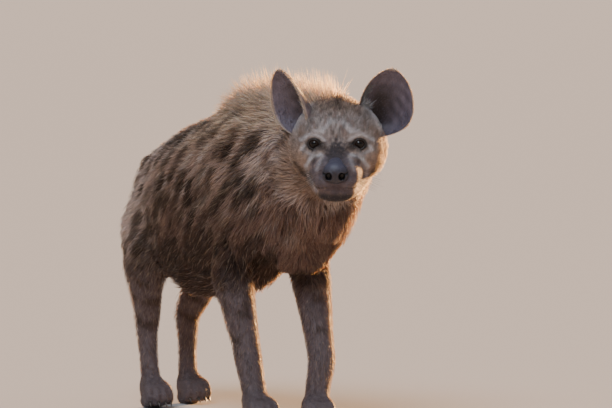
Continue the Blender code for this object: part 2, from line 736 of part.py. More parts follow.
def ruff_roots(draw):
    """Locks in staggered rows round the sides and front of the neck, from the shoulders to the head."""
    head_way = np.array(head_matrix().to_3x3() @ Vector((1, 0, 0)))
    roots = []
    for row, share in enumerate(np.linspace(0, 1, 6)):
        middle = np.array(RUFF_START) * (1 - share) + np.array(RUFF_END) * share
        forward = np.array((0, -1.0, 0.2)) * (1 - share) + head_way * share
        aside = np.cross(forward, (0, 0, 1.0))
        aside /= np.linalg.norm(aside)
        up = np.cross(aside, forward)
        for k in range(10):
            turn = math.radians(48 + 26 * (k - 0.5 * (row % 2)) + 14 * (k > 4)) + draw.normal(0, 0.04)
            way = aside * math.sin(turn) + up * math.cos(turn)
            lie = (0.3 * way[0], 0.8, -0.8)
            roots.append((middle, way, lie, "ruff"))
    return roots


def breast_roots(draw):
    """Locks that hang over the front of the neck and the breast, found from inside them."""
    roots = []
    for row, z in enumerate(np.linspace(0.515, 0.405, 4)):
        for k in range(4):
            x = 0.010 + (k - 1.75 + 0.5 * (row % 2)) * 0.056
            roots.append(((x, -0.060, z), (x * 1.5, -1, -0.10), (x * 2, 0.3, -1), "breast"))
    return roots


def rump_roots(draw):
    """Locks down the back edge of both thighs, beside the tail."""
    roots = []
    for k, z in enumerate(np.linspace(0.505, 0.380, 5)):
        for _, sign in SIDES:
            start = (sign * (0.062 + 0.024 * (k % 2)), 1.0, z + draw.normal(0, 0.004))
            roots.append((start, (0, -1, 0), (sign * 0.2, 0.2, -1), "rump"))
    return roots


def belly_roots(draw):
    """A fringe under the belly, between the legs."""
    roots = []
    for k, y in enumerate(np.linspace(0.130, 0.320, 6)):
        for x in (-0.085, 0.0, 0.085) if k % 2 else (-0.045, 0.045):
            roots.append(((x + draw.normal(0, 0.003), y, 0.1), (0, 0, 1), (x * 3, 0.9, -0.2), "belly"))
    return roots


def leg_roots(rows, heights):
    """Locks down the back of a leg, on both edges of it by turns."""
    path = smooth_rows(rows, 40)
    roots = []
    for k, z in enumerate(heights):
        x, y = path[np.argmin(abs(path[:, 2] - z)), :2]
        aside = 0.012 if k % 2 else -0.012
        roots.append(((x + aside, y + 0.09, z), (0, -1, 0), (aside * 10, 0.35, -1), "leg"))
    return roots


def tail_roots(draw):
    """The tuft: locks all round the lower half of the tail."""
    roots = []
    for row, z in enumerate(np.linspace(0.445, 0.290, 5)):
        for k in range(3):
            turn = (k + 0.5 * (row % 2)) * math.pi * 2 / 3 + draw.normal(0, 0.1)
            way = np.array((math.cos(turn), math.sin(turn), 0))
            start = np.array((0, 0.667, z)) + way * 0.12
            roots.append((start, -way, (0.1 * way[0], 0.15 * way[1], -1), "tail"))
    return roots


def coat(skin):
    """The locks of every node, each node's fused with it by one union."""
    draw = np.random.default_rng(LOCK_SEED)
    crest = mane_roots(draw) + back_roots(draw)
    ruff = ruff_roots(draw) + breast_roots(draw)
    above_legs = (np.array((0, 0, LEG_ROOMS[1][2] + 0.001)), np.array((0, 0, 1.0)))
    belly_end = (np.array((0, LEG_ROOMS[1][1][0] - 0.002, 0)), np.array((0, -1.0, 0)))
    rooms = [
        ("neck", crest + ruff, ()),
        ("torso", crest + ruff + rump_roots(draw), (above_legs,)),
        ("torso", belly_roots(draw), (belly_end,)),
        ("tail", tail_roots(draw), ()),
    ]
    for name, _ in SIDES:
        rooms.append((f"foreleg_{name}", leg_roots(foreleg_rows(FORE[name]), (0.285, 0.255, 0.220)), ()))
        rooms.append((f"hindleg_{name}", leg_roots(hindleg_rows(HIND[name]), (0.295, 0.265, 0.235)), ()))
    for node, roots, extra in rooms:
        group = collection(f"locks_{node}", hidden=True)
        grow_locks(node, skin, roots, draw, group, extra)
        join_collection(bpy.data.objects[node], group)


def join_collection(obj, group):
    """One union of an object with every object of a collection, which is then removed."""
    joint = obj.modifiers.new("Boolean", "BOOLEAN")
    joint.operation = "UNION"
    joint.solver = "MANIFOLD"
    joint.operand_type = "COLLECTION"
    joint.collection = group
    apply_modifiers(obj)
    for item in list(group.objects):
        bpy.data.objects.remove(item)
    bpy.data.collections.remove(group)


def build_body(work, parts):
    """Neck, torso, tail and legs, cut from one fused body."""
    forms = torso_forms() + neck_forms() + head_forms() + tail_forms()
    forms += [leg_form(foreleg_rows(FORE[name])) for name, _ in SIDES]
    forms += [leg_form(hindleg_rows(HIND[name])) for name, _ in SIDES]
    body = fused("torso", forms, BODY_GRAIN, parts)
    skin = BVHTree.FromPolygons([v.co for v in body.data.vertices], [p.vertices for p in body.data.polygons])
    still = Matrix.Identity(4)
    head_room = box("head_room", (HEAD_BACK - GAP, -0.3, -0.4), (0.4, 0.3, 0.4), head_matrix(), work)
    combine(body, head_room, "DIFFERENCE")
    cut_out(body, "neck", (0, -0.4, -0.6), (0.8, 0.4, 0.6), neck_matrix(), work, parts)
    cut_out(body, "tail", (-0.06, TAIL_START, 0.10), (0.06, 0.9, 0.60), still, work, parts)
    for name, sign in SIDES:
        inner, outer = sorted((0.004 * sign, 0.3 * sign))
        for leg, back, top, ankle in LEG_ROOMS:
            low = (inner, back[0], ankle + GAP)
            high = (outer, back[1], top)
            cut_out(body, f"{leg}_{name}", low, high, still, work, parts)
    below = box("below", (-0.4, -0.5, -0.3), (0.4, 0.8, 0.06), still, work)
    combine(body, below, "DIFFERENCE")
    return skin


def build_paws(work, parts):
    for name, _ in SIDES:
        for kind, plan, rows, size, ankle in (
            ("forepaw", FORE[name], foreleg_rows(FORE[name]), 1.06, FORE_ANKLE),
            ("hindpaw", HIND[name], hindleg_rows(HIND[name]), 0.96, HIND_ANKLE),
        ):
            paw = fused(f"{kind}_{name}", [leg_form(rows), *paw_forms(plan, size)], PAW_GRAIN, parts)
            combine(paw, object_from("claws", [claws(plan, size)], work), "UNION")
            room = box("room", (-0.3, -0.4, 0), (0.3, 0.9, ankle), Matrix.Identity(4), work)
            combine(paw, room, "INTERSECT")


def build_head(work, parts):
    """The head with its nose, ears and eyes, each in its own node."""
    matrix = head_matrix()
    head = fused("head", head_forms() + neck_forms(), HEAD_GRAIN, parts)
    combine(head, box("room", (HEAD_BACK, -0.3, -0.4), (0.4, 0.3, 0.4), matrix, work), "INTERSECT")
    for _, sign in SIDES:
        combine(head, object_from("lids", [lid_form(sign)], work), "UNION")
    combine(head, object_from("mouth", [mouth_cutter()], work), "DIFFERENCE")
    for _, sign in SIDES:
        socket = object_from("socket", [eye_ball(sign, EYE_RADIUS + GAP)], work)
        combine(head, socket, "DIFFERENCE")
        combine(head, object_from("opening", [lid_opening(sign)], work), "DIFFERENCE")
        combine(head, object_from("ear", [ear_form(sign)], work), "UNION", "MANIFOLD")
    for name, sign in SIDES:
        object_from(f"eye_{name}", [eye_ball(sign, EYE_RADIUS)], parts)
        inner, outer = sorted((-0.064 * sign, 0.09 * sign))
        low, high = (-0.08, inner, EAR_ROOT), (0.05, outer, 0.2)
        cut_out(head, f"ear_{name}", low, high, ear_matrix(sign), work, parts)
    for form in nose_forms():
        combine(head, object_from("nose", [form], work), "UNION")
    for cutter in nostril_cutters():
        combine(head, object_from("nostril", [cutter], work), "DIFFERENCE")
    cut_out(head, "nose", *NOSE_ROOM, matrix, work, parts)


def paint(parts):
    made = {name: material(name) for name in COLOURS}
    for obj in parts.objects:
        kind = obj.name.split("_")[0]
        key = {"head": "face", "eye": "eye", "ear": "ear", "nose": "nose", "tail": "tail"}.get(kind, "coat")
        if "leg" in kind or "paw" in kind:
            key = "legs"
        obj.data.materials.clear()
        obj.data.materials.append(made[key])


def stand_on_origin(parts):
    """Moves every node so that the middle of their common box is over the origin."""
    corners = np.array([v.co for obj in parts.objects for v in obj.data.vertices])
    middle = (corners.min(axis=0) + corners.max(axis=0)) / 2
    for obj in parts.objects:
        obj.data.transform(Matrix.Translation((-middle[0], -middle[1], 0)))


def main():
    clear_scene()
    parts = collection("spotted_hyena")
    work = collection("cutters", hidden=True)
    skin = build_body(work, parts)
    coat(skin)
    build_paws(work, parts)
    build_head(work, parts)
    for obj in parts.objects:
        keep_largest(obj)
    stand_on_origin(parts)
    paint(parts)


main()
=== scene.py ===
"""A spotted hyena, life size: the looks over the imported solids.

One skin is fused from the same lofts and ellipsoids as the solids and lies inside them by the
depth of the short coat. The head is refined and given its lids, lips and folds. The coat is made
of many thin tufts, rooted on the skin and laid along it. Skin and tufts share one set of markings.
All shapes are worked out in the frame of the build and then moved to the frame of the part.
"""

import math

import bmesh
import bpy
import numpy as np
from mathutils import Euler, Matrix, Vector


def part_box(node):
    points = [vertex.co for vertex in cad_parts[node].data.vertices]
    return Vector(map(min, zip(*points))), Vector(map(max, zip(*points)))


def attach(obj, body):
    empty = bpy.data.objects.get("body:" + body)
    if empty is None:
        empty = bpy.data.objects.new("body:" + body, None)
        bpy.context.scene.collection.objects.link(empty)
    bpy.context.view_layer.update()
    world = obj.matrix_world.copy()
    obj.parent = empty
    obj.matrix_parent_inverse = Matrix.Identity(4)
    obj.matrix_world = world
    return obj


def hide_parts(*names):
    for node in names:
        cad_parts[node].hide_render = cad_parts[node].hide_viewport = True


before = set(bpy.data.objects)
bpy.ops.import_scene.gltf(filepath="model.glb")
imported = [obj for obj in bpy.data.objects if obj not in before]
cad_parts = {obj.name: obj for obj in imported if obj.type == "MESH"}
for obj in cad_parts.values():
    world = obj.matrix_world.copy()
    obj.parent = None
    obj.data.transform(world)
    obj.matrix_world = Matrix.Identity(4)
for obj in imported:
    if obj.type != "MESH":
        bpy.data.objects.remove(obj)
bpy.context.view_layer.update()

# The head's own frame: forward, left and up from the middle between the eyes
EYE_MIDDLE = Vector((-0.035, -0.36, 0.645))
HEAD_TURN = math.radians(30.5)
HEAD_NOD = math.radians(10)

EYE_RADIUS = 0.0150
EYE_SPOT = (0.0015, 0.0478, 0.000)
EYE_ASIDE = math.radians(12)
EYE_TILT = math.radians(12)
# Half width, half height and squareness of the almond between the lids,
# seen this far in front of the eye's middle
EYE_OPENING = (0.0162, 0.0117, 1.70)
EYE_OPENING_AT = 0.012
LID_THICK = 0.0016
# The lids, in shares of the opening: where the skin is drawn to its edge, where the lid goes over
# into the face, and its fold as depth, place and half width
LID_EDGE = (0.80, 1.16)
LID_FADE = (1.25, 2.3)
LID_FOLD = (0.0011, 1.50, 0.14)
# The wet rim of the lids: how far out it lies on the ball, half its thickness and half its width
RIM_OUT = 0.0007
RIM_THICK = 0.0015
RIM_WIDE = 0.0012
# How far the ball lies inside its radius, and the cornea's rise and half angle
BALL_IN = 0.0003
CORNEA_RISE = 0.0009
CORNEA_ANGLE = 0.52

EAR_HEIGHT = 0.124
EAR_SKIN = 0.0036
EAR_BASE = (-0.066, 0.101, 0.030)
# Share of the height, half width, half angle of the cup in degrees, shift towards the skull
EAR_PROFILE = [
    (-0.26, 0.026, 105, 0.034),
    (-0.14, 0.044, 98, 0.017),
    (0.02, 0.055, 84, 0.004),
    (0.22, 0.060, 70, 0.000),
    (0.42, 0.058, 60, 0.000),
    (0.62, 0.0505, 52, 0.000),
    (0.80, 0.0375, 44, 0.000),
    (0.92, 0.0225, 36, 0.000),
    (0.985, 0.0100, 28, 0.000),
]
# By side, in degrees: lean away from the head's middle, turn of the opening outwards, lean back
EAR_SET = {-1: (14, 52, 4), 1: (9, 6, 4)}
# Rings of an ear's cup, and steps across each of its two walls
EAR_RINGS = 90
EAR_ACROSS = 56

# Each leg's ground plan: where the paw, the joint above it and the elbow or knee stand,
# and how far the toes turn out, in degrees
FORE = {
    "right": {"foot": (-0.060, -0.025), "wrist": (-0.065, 0.005), "elbow": (-0.090, 0.045), "toes": 6},
    "left": {"foot": (0.050, -0.100), "wrist": (0.070, -0.092), "elbow": (0.090, 0.005), "toes": 16},
}
HIND = {
    "right": {"foot": (-0.062, 0.495), "hock": (-0.062, 0.530), "knee": (-0.092, 0.460), "toes": 4},
    "left": {"foot": (0.066, 0.560), "hock": (0.068, 0.578), "knee": (0.094, 0.475), "toes": -4},
}
PAW_SIZE = {"fore": 1.06, "hind": 0.96}
# How far apart the toes stand, and each toe's place across in such steps and its reach forward
TOE_SPREAD = 0.0170
TOES = ((-1.5, 0.038), (-0.5, 0.050), (0.5, 0.050), (1.5, 0.038))

SIDES = (("right", -1), ("left", 1))

# The skin: size of a voxel, smoothing rounds on body, head and paws, and how far each round goes
SKIN_VOXEL = 0.0042
SMOOTHING = {"body": 38, "head": 7, "paw": 4}
SMOOTH_STEP = 0.25
# Rounds of smoothing for the depth under the coat and for the head's split faces
DEPTH_ROUNDS = 4.0
FACE_ROUNDS = 2.0
# The share of the skin's faces that stays, and how strongly the loss goes to where long hair hides it
THIN_RATIO = 0.181
THIN_PULL = 50
LOWEST_SKIN = 0.0006
# How far back and down the head's faces are split once, and then once more
FACE_SPLITS = ((-0.070, -0.125), (-0.004, -0.112))
# The roll beside the lips and the groove between them: how high or deep, how far out and half width
LIP_ROLL = (0.0009, 0.0050, 0.0020)
LIP_GROOVE = (0.0030, 0, 0.0017)
# Depth of the furrow between the brows and of the creases across the muzzle
FURROW_DEEP = 0.0012
CREASE_DEEP = 0.0005

# Camera: metres to the animal, degrees round from its front and above the floor, focal length in pixels
CAMERA_AIM = (-0.09848192, -0.33412241, 0.51230211)
CAMERA_AWAY = 14.0
CAMERA_ROUND = math.radians(28)
CAMERA_ABOVE = math.radians(3)
CAMERA_FOCAL = 6363.6
PHOTO_WIDTH = 612
SENSOR_WIDTH = 36
CAMERA_END = 100

SEED = 7

# Colours of the coat, as light that the hair gives back
TAN = np.array((0.455, 0.315, 0.262))
PALE_TAN = np.array((0.760, 0.560, 0.420))
GREY_TAN = np.array((0.560, 0.442, 0.400))
BROWN = np.array((0.185, 0.110, 0.090))
DARK_BROWN = np.array((0.061, 0.034, 0.027))
SPOT_BROWN = np.array((0.028, 0.017, 0.013))
LEG_BROWN = np.array((0.168, 0.126, 0.134))
FACE_GREY = np.array((0.390, 0.325, 0.305))
FACE_TAN = np.array((0.370, 0.245, 0.185))
MUZZLE_GREY = np.array((0.128, 0.098, 0.112))
LIP_BLACK = np.array((0.022, 0.016, 0.016))
PALE_HAIR = np.array((0.800, 0.750, 0.760))
# The mane's pale gold, brightened by a painted glow of light from behind
MANE_GOLD_AND_BACKLIGHT_GLOW = np.array((0.860, 0.600, 0.410))
EAR_GREY = np.array((0.150, 0.124, 0.158))
EAR_DARK = np.array((0.040, 0.027, 0.024))
# The skin's colour against that of the hair over it
SKIN_DARK = 0.75

# Blotches of the flank: back from the front, height, half length along the lie, half width, darkness
BLOTCHES = [
    (0.207, 0.540, 0.026, 0.020, 0.95),
    (0.322, 0.482, 0.044, 0.024, 0.90),
    (-0.045, 0.554, 0.024, 0.013, 0.90),
    (-0.088, 0.537, 0.034, 0.019, 0.95),
    (-0.047, 0.508, 0.022, 0.015, 0.90),
    (-0.086, 0.642, 0.036, 0.018, 0.90),
    (-0.056, 0.634, 0.026, 0.012, 0.80),
    (-0.006, 0.655, 0.026, 0.011, 0.70),
    (0.060, 0.563, 0.020, 0.012, 0.75),
    (0.105, 0.558, 0.022, 0.012, 0.70),
    (0.078, 0.520, 0.036, 0.011, 0.65),
    (0.086, 0.461, 0.046, 0.012, 0.70),
    (0.292, 0.365, 0.050, 0.032, 0.85),
    (0.164, 0.402, 0.044, 0.030, 0.75),
    (0.005, 0.414, 0.020, 0.014, 0.80),
    (-0.020, 0.437, 0.017, 0.010, 0.70),
    (-0.078, 0.476, 0.020, 0.010, 0.70),
    (0.298, 0.586, 0.034, 0.012, 0.75),
    (0.230, 0.598, 0.032, 0.012, 0.75),
    (0.135, 0.640, 0.034, 0.013, 0.70),
    (0.050, 0.690, 0.036, 0.013, 0.75),
    (0.170, 0.660, 0.030, 0.011, 0.65),
    (0.437, 0.563, 0.034, 0.013, 0.75),
    (0.400, 0.500, 0.030, 0.015, 0.55),
    (0.520, 0.520, 0.030, 0.012, 0.65),
    (0.545, 0.450, 0.034, 0.012, 0.60),
    (0.250, 0.440, 0.028, 0.016, 0.50),
]
# The small blotches: rows and steps of their grid, the distances between them, the shift of every
# second row, their start, how far they stray, how far they keep from a named one, and the least and
# most of their half length, half width and darkness
SMALL_GRID = (8, 14)
SMALL_APART = (0.049, 0.042)
SMALL_SHIFT = 0.024
SMALL_START = (-0.09, 0.37)
SMALL_STRAY = (0.014, 0.013)
SMALL_CLEAR = 0.040
SMALL_SIZES = ((0.018, 0.010, 0.70), (0.032, 0.016, 1.00))
# How far the left side's blotches are shifted along the lie against the right side's
LEFT_SLIP = 0.035


# Small tools for shapes


def ramp(values, low, high):
    """0 below low, 1 above high and an S curve between; low may lie above high."""
    t = np.clip((values - low) / (high - low), 0, 1)
    return t * t * (3 - 2 * t)


def blend(a, b, share):
    """a and b mixed by a share for each row."""
    share = np.asarray(share)
    if (3,) in (np.shape(a)[-1:], np.shape(b)[-1:]):
        share = share[..., None]
    return a * (1 - share) + b * share


def bell(values, middle, half):
    """1 at the middle and less on both sides of it: a Gaussian curve of that half width."""
    return np.exp(-(((values - middle) / half) ** 2))


def painted(base, *layers):
    """Values or colours laid over a base one after another, each by its own share."""
    for over, share in layers:
        base = blend(base, over, share)
    return base


def signed_power(values, power):
    """A power of each value's size, with the value's own sign."""
    return np.sign(values) * np.abs(values) ** power


def circle(count):
    """Even steps of angle, once round."""
    return np.linspace(0, 2 * math.pi, count, endpoint=False)


def waves(points, size, seed):
    """A gentle random field between about -1 and 1: eight plane waves of one size, added up."""
    draw = np.random.default_rng(seed)
    ways = draw.normal(size=(8, 3))
    ways /= np.linalg.norm(ways, axis=1)[:, None]
    start = draw.uniform(0, 2 * math.pi, 8)
    return np.sin(points @ ways.T * (2 * math.pi / size) + start).sum(axis=1) / 3


def unit(vectors):
    return vectors / np.maximum(np.linalg.norm(vectors, axis=-1, keepdims=True), 1e-9)


def smooth_rows(rows, count):
    """Rows of sizes read at count even steps of a Catmull-Rom curve through them."""
    rows = np.asarray(rows, float)
    padded = np.vstack([2 * rows[0] - rows[1], rows, 2 * rows[-1] - rows[-2]])
    place = np.linspace(0, len(rows) - 1, count)
    cell = np.minimum(place.astype(int), len(rows) - 2)
    t = (place - cell)[:, None]
    a, b, c, d = (padded[cell + k] for k in range(4))
    return 0.5 * (2 * b + (c - a) * t + (2 * a - 5 * b + 4 * c - d) * t**2 + (3 * b - a - 3 * c + d) * t**3)


def put(matrix, points):
    """Points carried from a frame into the build's frame."""
    m = np.array(matrix)
    return points @ m[:3, :3].T + m[:3, 3]


def into(matrix, points):
    """Points of the build's frame seen in another frame."""
    return put(matrix.inverted(), points)


def quads(a, b, c, d):
    """Two triangles for each set of four corners."""
    return np.concatenate([np.stack([a, b, c], -1).reshape(-1, 3), np.stack([a, c, d], -1).reshape(-1, 3)])


def outward(points, triangles):
    """The triangles, turned about where the volume inside them comes out negative."""
    a, b, c = (points[triangles[:, k]] - points.mean(axis=0) for k in range(3))
    volume = np.einsum("ij,ij->", a, np.cross(b, c))
    return triangles if volume > 0 else triangles[:, ::-1]


def closed_surface(grid, ends):
    """Points and outward triangles of a closed surface: rings of points, with a pole at each end."""
    count, segments = grid.shape[:2]
    cell = np.arange(count * segments).reshape(count, segments)
    after = np.roll(cell, -1, axis=1)
    poles = np.full(segments, count * segments)
    triangles = np.concatenate(
        [
            quads(cell[:-1], after[:-1], after[1:], cell[1:]),
            np.stack([poles, after[0], cell[0]], -1),
            np.stack([poles + 1, cell[-1], after[-1]], -1),
        ]
    )
    points = np.vstack([grid.reshape(-1, 3), ends])
    return points, outward(points, triangles)


def joined(parts):
    """Several surfaces as one list of points and one of triangles."""
    starts = np.cumsum([0] + [len(points) for points, _ in parts[:-1]])
    points = np.vstack([part[0] for part in parts])
    triangles = np.vstack([part[1] + start for part, start in zip(parts, starts)])
    return points, triangles


def loft(rows, side=(1, 0, 0), rings=40, segments=48, caps=(0.03, 0.03)):
    """A closed loft along a smooth path, its ends rounded by caps.

    A row is x, y, z, half width, height above, depth below, squareness. The half width runs
    along side, and a section is a superellipse whose upper and lower halves differ in height.
    """
    body = smooth_rows(rows, rings)
    centre, half = body[:, :3], body[:, 3:6]
    along = unit(np.gradient(centre, axis=0))
    side = np.asarray(side, float)
    side = unit(side - along * (along @ side)[:, None])
    up = np.cross(side, along)
    turn = np.linspace(0, math.pi / 2, 8)[1:-1]
    first = [(0, -caps[0] * math.sin(a), math.cos(a)) for a in turn[::-1]]
    last = [(rings - 1, caps[1] * math.sin(a), math.cos(a)) for a in turn]
    index, push, scale = np.array([*first, *((k, 0, 1) for k in range(rings)), *last]).T[..., None]
    index = index[:, 0].astype(int)
    c, s = np.cos(circle(segments)), np.sin(circle(segments))
    power = (2 / body[index, 6])[:, None]
    rise = np.where(s > 0, half[index, 1][:, None], half[index, 2][:, None])
    rise = signed_power(s, power) * rise * scale
    across = signed_power(c, power) * half[index, 0][:, None] * scale
    middle = centre[index] + along[index] * push
    grid = middle[:, None] + across[..., None] * side[index][:, None] + rise[..., None] * up[index][:, None]
    ends = centre[[0, -1]] + along[[0, -1]] * np.array([[-caps[0]], [caps[1]]])
    return closed_surface(grid, ends)


POLES = np.array([(0, 0, 1.0), (0, 0, -1.0)])


def ball(rings, segments):
    """Ways out from a point: rings of them between an upper and a lower pole."""
    polar, turn = np.meshgrid(np.linspace(0, math.pi, rings + 1)[1:-1], circle(segments), indexing="ij")
    return np.stack([np.sin(polar) * np.cos(turn), np.sin(polar) * np.sin(turn), np.cos(polar)], -1)


def ellipsoid(place, half, turn=(0, 0, 0)):
    """A sphere stretched to three half sizes, turned by Euler degrees and put at a place."""
    spin = Euler([math.radians(a) for a in turn]).to_matrix().to_4x4()
    matrix = Matrix.Translation(place) @ spin @ Matrix.Diagonal((*half, 1))
    return closed_surface(put(matrix, ball(24, 40)), put(matrix, POLES))


def carried(matrix, parts):
    return [(put(matrix, points), triangles) for points, triangles in parts]


def frame_at(place, forward, up):
    """A matrix that carries forward, left and up from a place, with forward kept exact."""
    forward = Vector(forward).normalized()
    left = Vector(up).cross(forward).normalized()
    turn = Matrix((forward, left, forward.cross(left))).transposed()
    return Matrix.Translation(place) @ turn.to_4x4()


def head_matrix():
    flat = Vector((-math.sin(HEAD_TURN), -math.cos(HEAD_TURN), 0))
    forward = flat * math.cos(HEAD_NOD) - Vector((0, 0, math.sin(HEAD_NOD)))
    return frame_at(EYE_MIDDLE, forward, (0, 0, 1))


def eye_matrix(sign):
    """The eye's frame: forward is where it looks, a little to its own side."""
    turn = Matrix.Rotation(EYE_ASIDE * sign, 4, "Z")
    spot = Matrix.Translation((EYE_SPOT[0], EYE_SPOT[1] * sign, EYE_SPOT[2]))
    level = Matrix.Rotation(-HEAD_NOD * 0.5, 4, "Y")
    return HEAD @ spot @ turn @ level


def ear_matrix(sign):
    """The ear's frame: forward is where the cup opens, up runs to the tip."""
    lean, open_out, tip_back = EAR_SET[sign]
    spin = Matrix.Rotation(math.radians(open_out) * sign, 4, "Z")
    spin = Matrix.Rotation(-math.radians(lean) * sign, 4, "X") @ spin
    spin = Matrix.Rotation(-math.radians(tip_back), 4, "Y") @ spin
    base = Matrix.Translation((EAR_BASE[0], EAR_BASE[1] * sign, EAR_BASE[2]))
    return HEAD @ base @ spin


def paw_matrix(plan, size):
    x, y = plan["foot"]
    turn = Matrix.Rotation(math.radians(-plan["toes"]), 4, "Z")
    return Matrix.Translation((x, y, 0)) @ turn @ Matrix.Diagonal((size, size, 1, 1))


# The forms of the flesh, as in the solids


def torso_forms():
    """The barrel of the body, with the shoulders, breast and rump that swell from it."""
    barrel = [
        (0, -0.085, 0.500, 0.090, 0.150, 0.110, 2.1),
        (0, -0.020, 0.515, 0.125, 0.210, 0.150, 2.2),
        (0, 0.060, 0.515, 0.142, 0.215, 0.180, 2.2),
        (0, 0.160, 0.500, 0.144, 0.207, 0.215, 2.2),
        (0, 0.270, 0.485, 0.146, 0.197, 0.220, 2.2),
        (0, 0.370, 0.475, 0.136, 0.180, 0.200, 2.2),
        (0, 0.460, 0.475, 0.116, 0.150, 0.150, 2.2),
        (0, 0.540, 0.458, 0.092, 0.122, 0.120, 2.1),
        (0, 0.595, 0.445, 0.062, 0.085, 0.090, 2.0),
    ]
    forms = [loft(barrel, caps=(0.06, 0.030))]
    for _, sign in SIDES:
        forms.append(ellipsoid((0.080 * sign, 0.015, 0.560), (0.052, 0.085, 0.150), (-18, 0, 0)))
        forms.append(ellipsoid((0.086 * sign, 0.000, 0.440), (0.050, 0.080, 0.115), (20, 0, 0)))
    forms.append(ellipsoid((0.022, -0.085, 0.440), (0.104, 0.072, 0.110)))
    return forms


def neck_forms():
    rows = [
        (0.004, 0.060, 0.560, 0.126, 0.165, 0.150, 2.1),
        (0.012, -0.040, 0.575, 0.128, 0.165, 0.180, 2.1),
        (0.024, -0.130, 0.600, 0.120, 0.140, 0.180, 2.1),
        (0.026, -0.200, 0.625, 0.106, 0.105, 0.150, 2.1),
        (0.012, -0.265, 0.635, 0.092, 0.082, 0.115, 2.1),
    ]
    ruff = ellipsoid((0.040, -0.145, 0.490), (0.086, 0.085, 0.095))
    return [loft(rows, side=(-1, 0, 0), caps=(0.04, 0.03)), ruff]


def head_forms():
    """Skull, muzzle, lower jaw, cheeks, brows and whisker pads; a row starts forward, left, up."""
    skull = [
        (-0.150, 0, -0.015, 0.062, 0.045, 0.060, 2.0),
        (-0.110, 0, -0.008, 0.088, 0.082, 0.080, 2.1),
        (-0.060, 0, -0.004, 0.100, 0.090, 0.088, 2.1),
        (-0.025, 0, -0.006, 0.092, 0.076, 0.080, 2.1),
        (0.000, 0, -0.018, 0.068, 0.048, 0.060, 2.2),
        (0.016, 0, -0.026, 0.046, 0.034, 0.040, 2.2),
    ]
    muzzle = [
        (-0.020, 0, -0.035, 0.074, 0.052, 0.046, 2.2),
        (0.020, 0, -0.042, 0.065, 0.047, 0.044, 2.3),
        (0.060, 0, -0.048, 0.057, 0.039, 0.038, 2.4),
        (0.090, 0, -0.052, 0.050, 0.033, 0.031, 2.4),
    ]
    jaw = [
        (-0.075, 0, -0.072, 0.078, 0.040, 0.044, 2.2),
        (-0.010, 0, -0.082, 0.068, 0.034, 0.038, 2.2),
        (0.045, 0, -0.089, 0.054, 0.026, 0.029, 2.2),
        (0.078, 0, -0.090, 0.043, 0.020, 0.024, 2.2),
    ]
    side = (0, -1, 0)
    forms = [
        loft(skull, side, caps=(0.025, 0.010)),
        loft(muzzle, side, caps=(0.02, 0.010)),
        loft(jaw, side, caps=(0.02, 0.014)),
    ]
    for _, sign in SIDES:
        forms.append(ellipsoid((-0.052, 0.058 * sign, -0.022), (0.076, 0.048, 0.064), (0, 16, 0)))
        forms.append(ellipsoid((-0.008, 0.046 * sign, 0.020), (0.018, 0.030, 0.014), (0, 20, 14 * sign)))
        forms.append(ellipsoid((0.064, 0.026 * sign, -0.061), (0.046, 0.029, 0.023), (0, 6, -6 * sign)))
    return carried(HEAD, forms)


TAIL_ROWS = [
    (0, 0.560, 0.545, 0.034, 0.034, 0.040, 2.0),
    (0, 0.625, 0.515, 0.026, 0.026, 0.028, 2.0),
    (0, 0.662, 0.450, 0.021, 0.021, 0.022, 2.0),
    (0, 0.670, 0.390, 0.024, 0.024, 0.024, 2.0),
    (0, 0.668, 0.330, 0.027, 0.027, 0.027, 2.0),
    (0, 0.660, 0.270, 0.016, 0.016, 0.016, 2.0),
]


def between(a, b, share):
    """A ground point a share of the way from a to b."""
    return (a[0] + (b[0] - a[0]) * share, a[1] + (b[1] - a[1]) * share)


def foreleg_rows(plan):
    """Upper arm, forearm, wrist and metacarpus, down to the paw."""
    foot, wrist, elbow = plan["foot"], plan["wrist"], plan["elbow"]
    return [
        (elbow[0] * 0.9, elbow[1] - 0.03, 0.430, 0.050, 0.060, 0.062, 2.0),
        (*elbow, 0.350, 0.047, 0.055, 0.058, 2.0),
        (*between(elbow, wrist, 0.40), 0.275, 0.043, 0.046, 0.048, 2.0),
        (*between(elbow, wrist, 0.80), 0.195, 0.037, 0.037, 0.037, 2.0),
        (*wrist, 0.145, 0.036, 0.036, 0.036, 2.0),
        (*between(wrist, foot, 0.50), 0.095, 0.034, 0.031, 0.031, 2.0),
        (*between(wrist, foot, 0.95), 0.040, 0.034, 0.030, 0.030, 2.0),
    ]


def hindleg_rows(plan):
    """Thigh, shank, hock and metatarsus, down to the paw."""
    foot, hock, knee = plan["foot"], plan["hock"], plan["knee"]
    return [
        (knee[0] * 0.78, knee[1] + 0.020, 0.490, 0.046, 0.070, 0.100, 2.0),
        (knee[0] * 0.90, knee[1] + 0.020, 0.430, 0.052, 0.085, 0.095, 2.0),
        (knee[0] * 0.98, knee[1] + 0.015, 0.355, 0.047, 0.075, 0.075, 2.0),
        (*between(knee, hock, 0.50), 0.280, 0.040, 0.052, 0.050, 2.0),
        (hock[0], hock[1] - 0.012, 0.210, 0.033, 0.037, 0.036, 2.0),
        (hock[0], hock[1] - 0.010, 0.165, 0.0285, 0.031, 0.030, 2.0),
        (*between(hock, foot, 0.55), 0.105, 0.0265, 0.026, 0.026, 2.0),
        (*between(hock, foot, 0.90), 0.040, 0.031, 0.028, 0.028, 2.0),
    ]


def leg_table():
    """Each leg's rows, ground plan and paw size."""
    legs = []
    for name, _ in SIDES:
        legs.append((foreleg_rows(FORE[name]), FORE[name], PAW_SIZE["fore"]))
        legs.append((hindleg_rows(HIND[name]), HIND[name], PAW_SIZE["hind"]))
    return legs


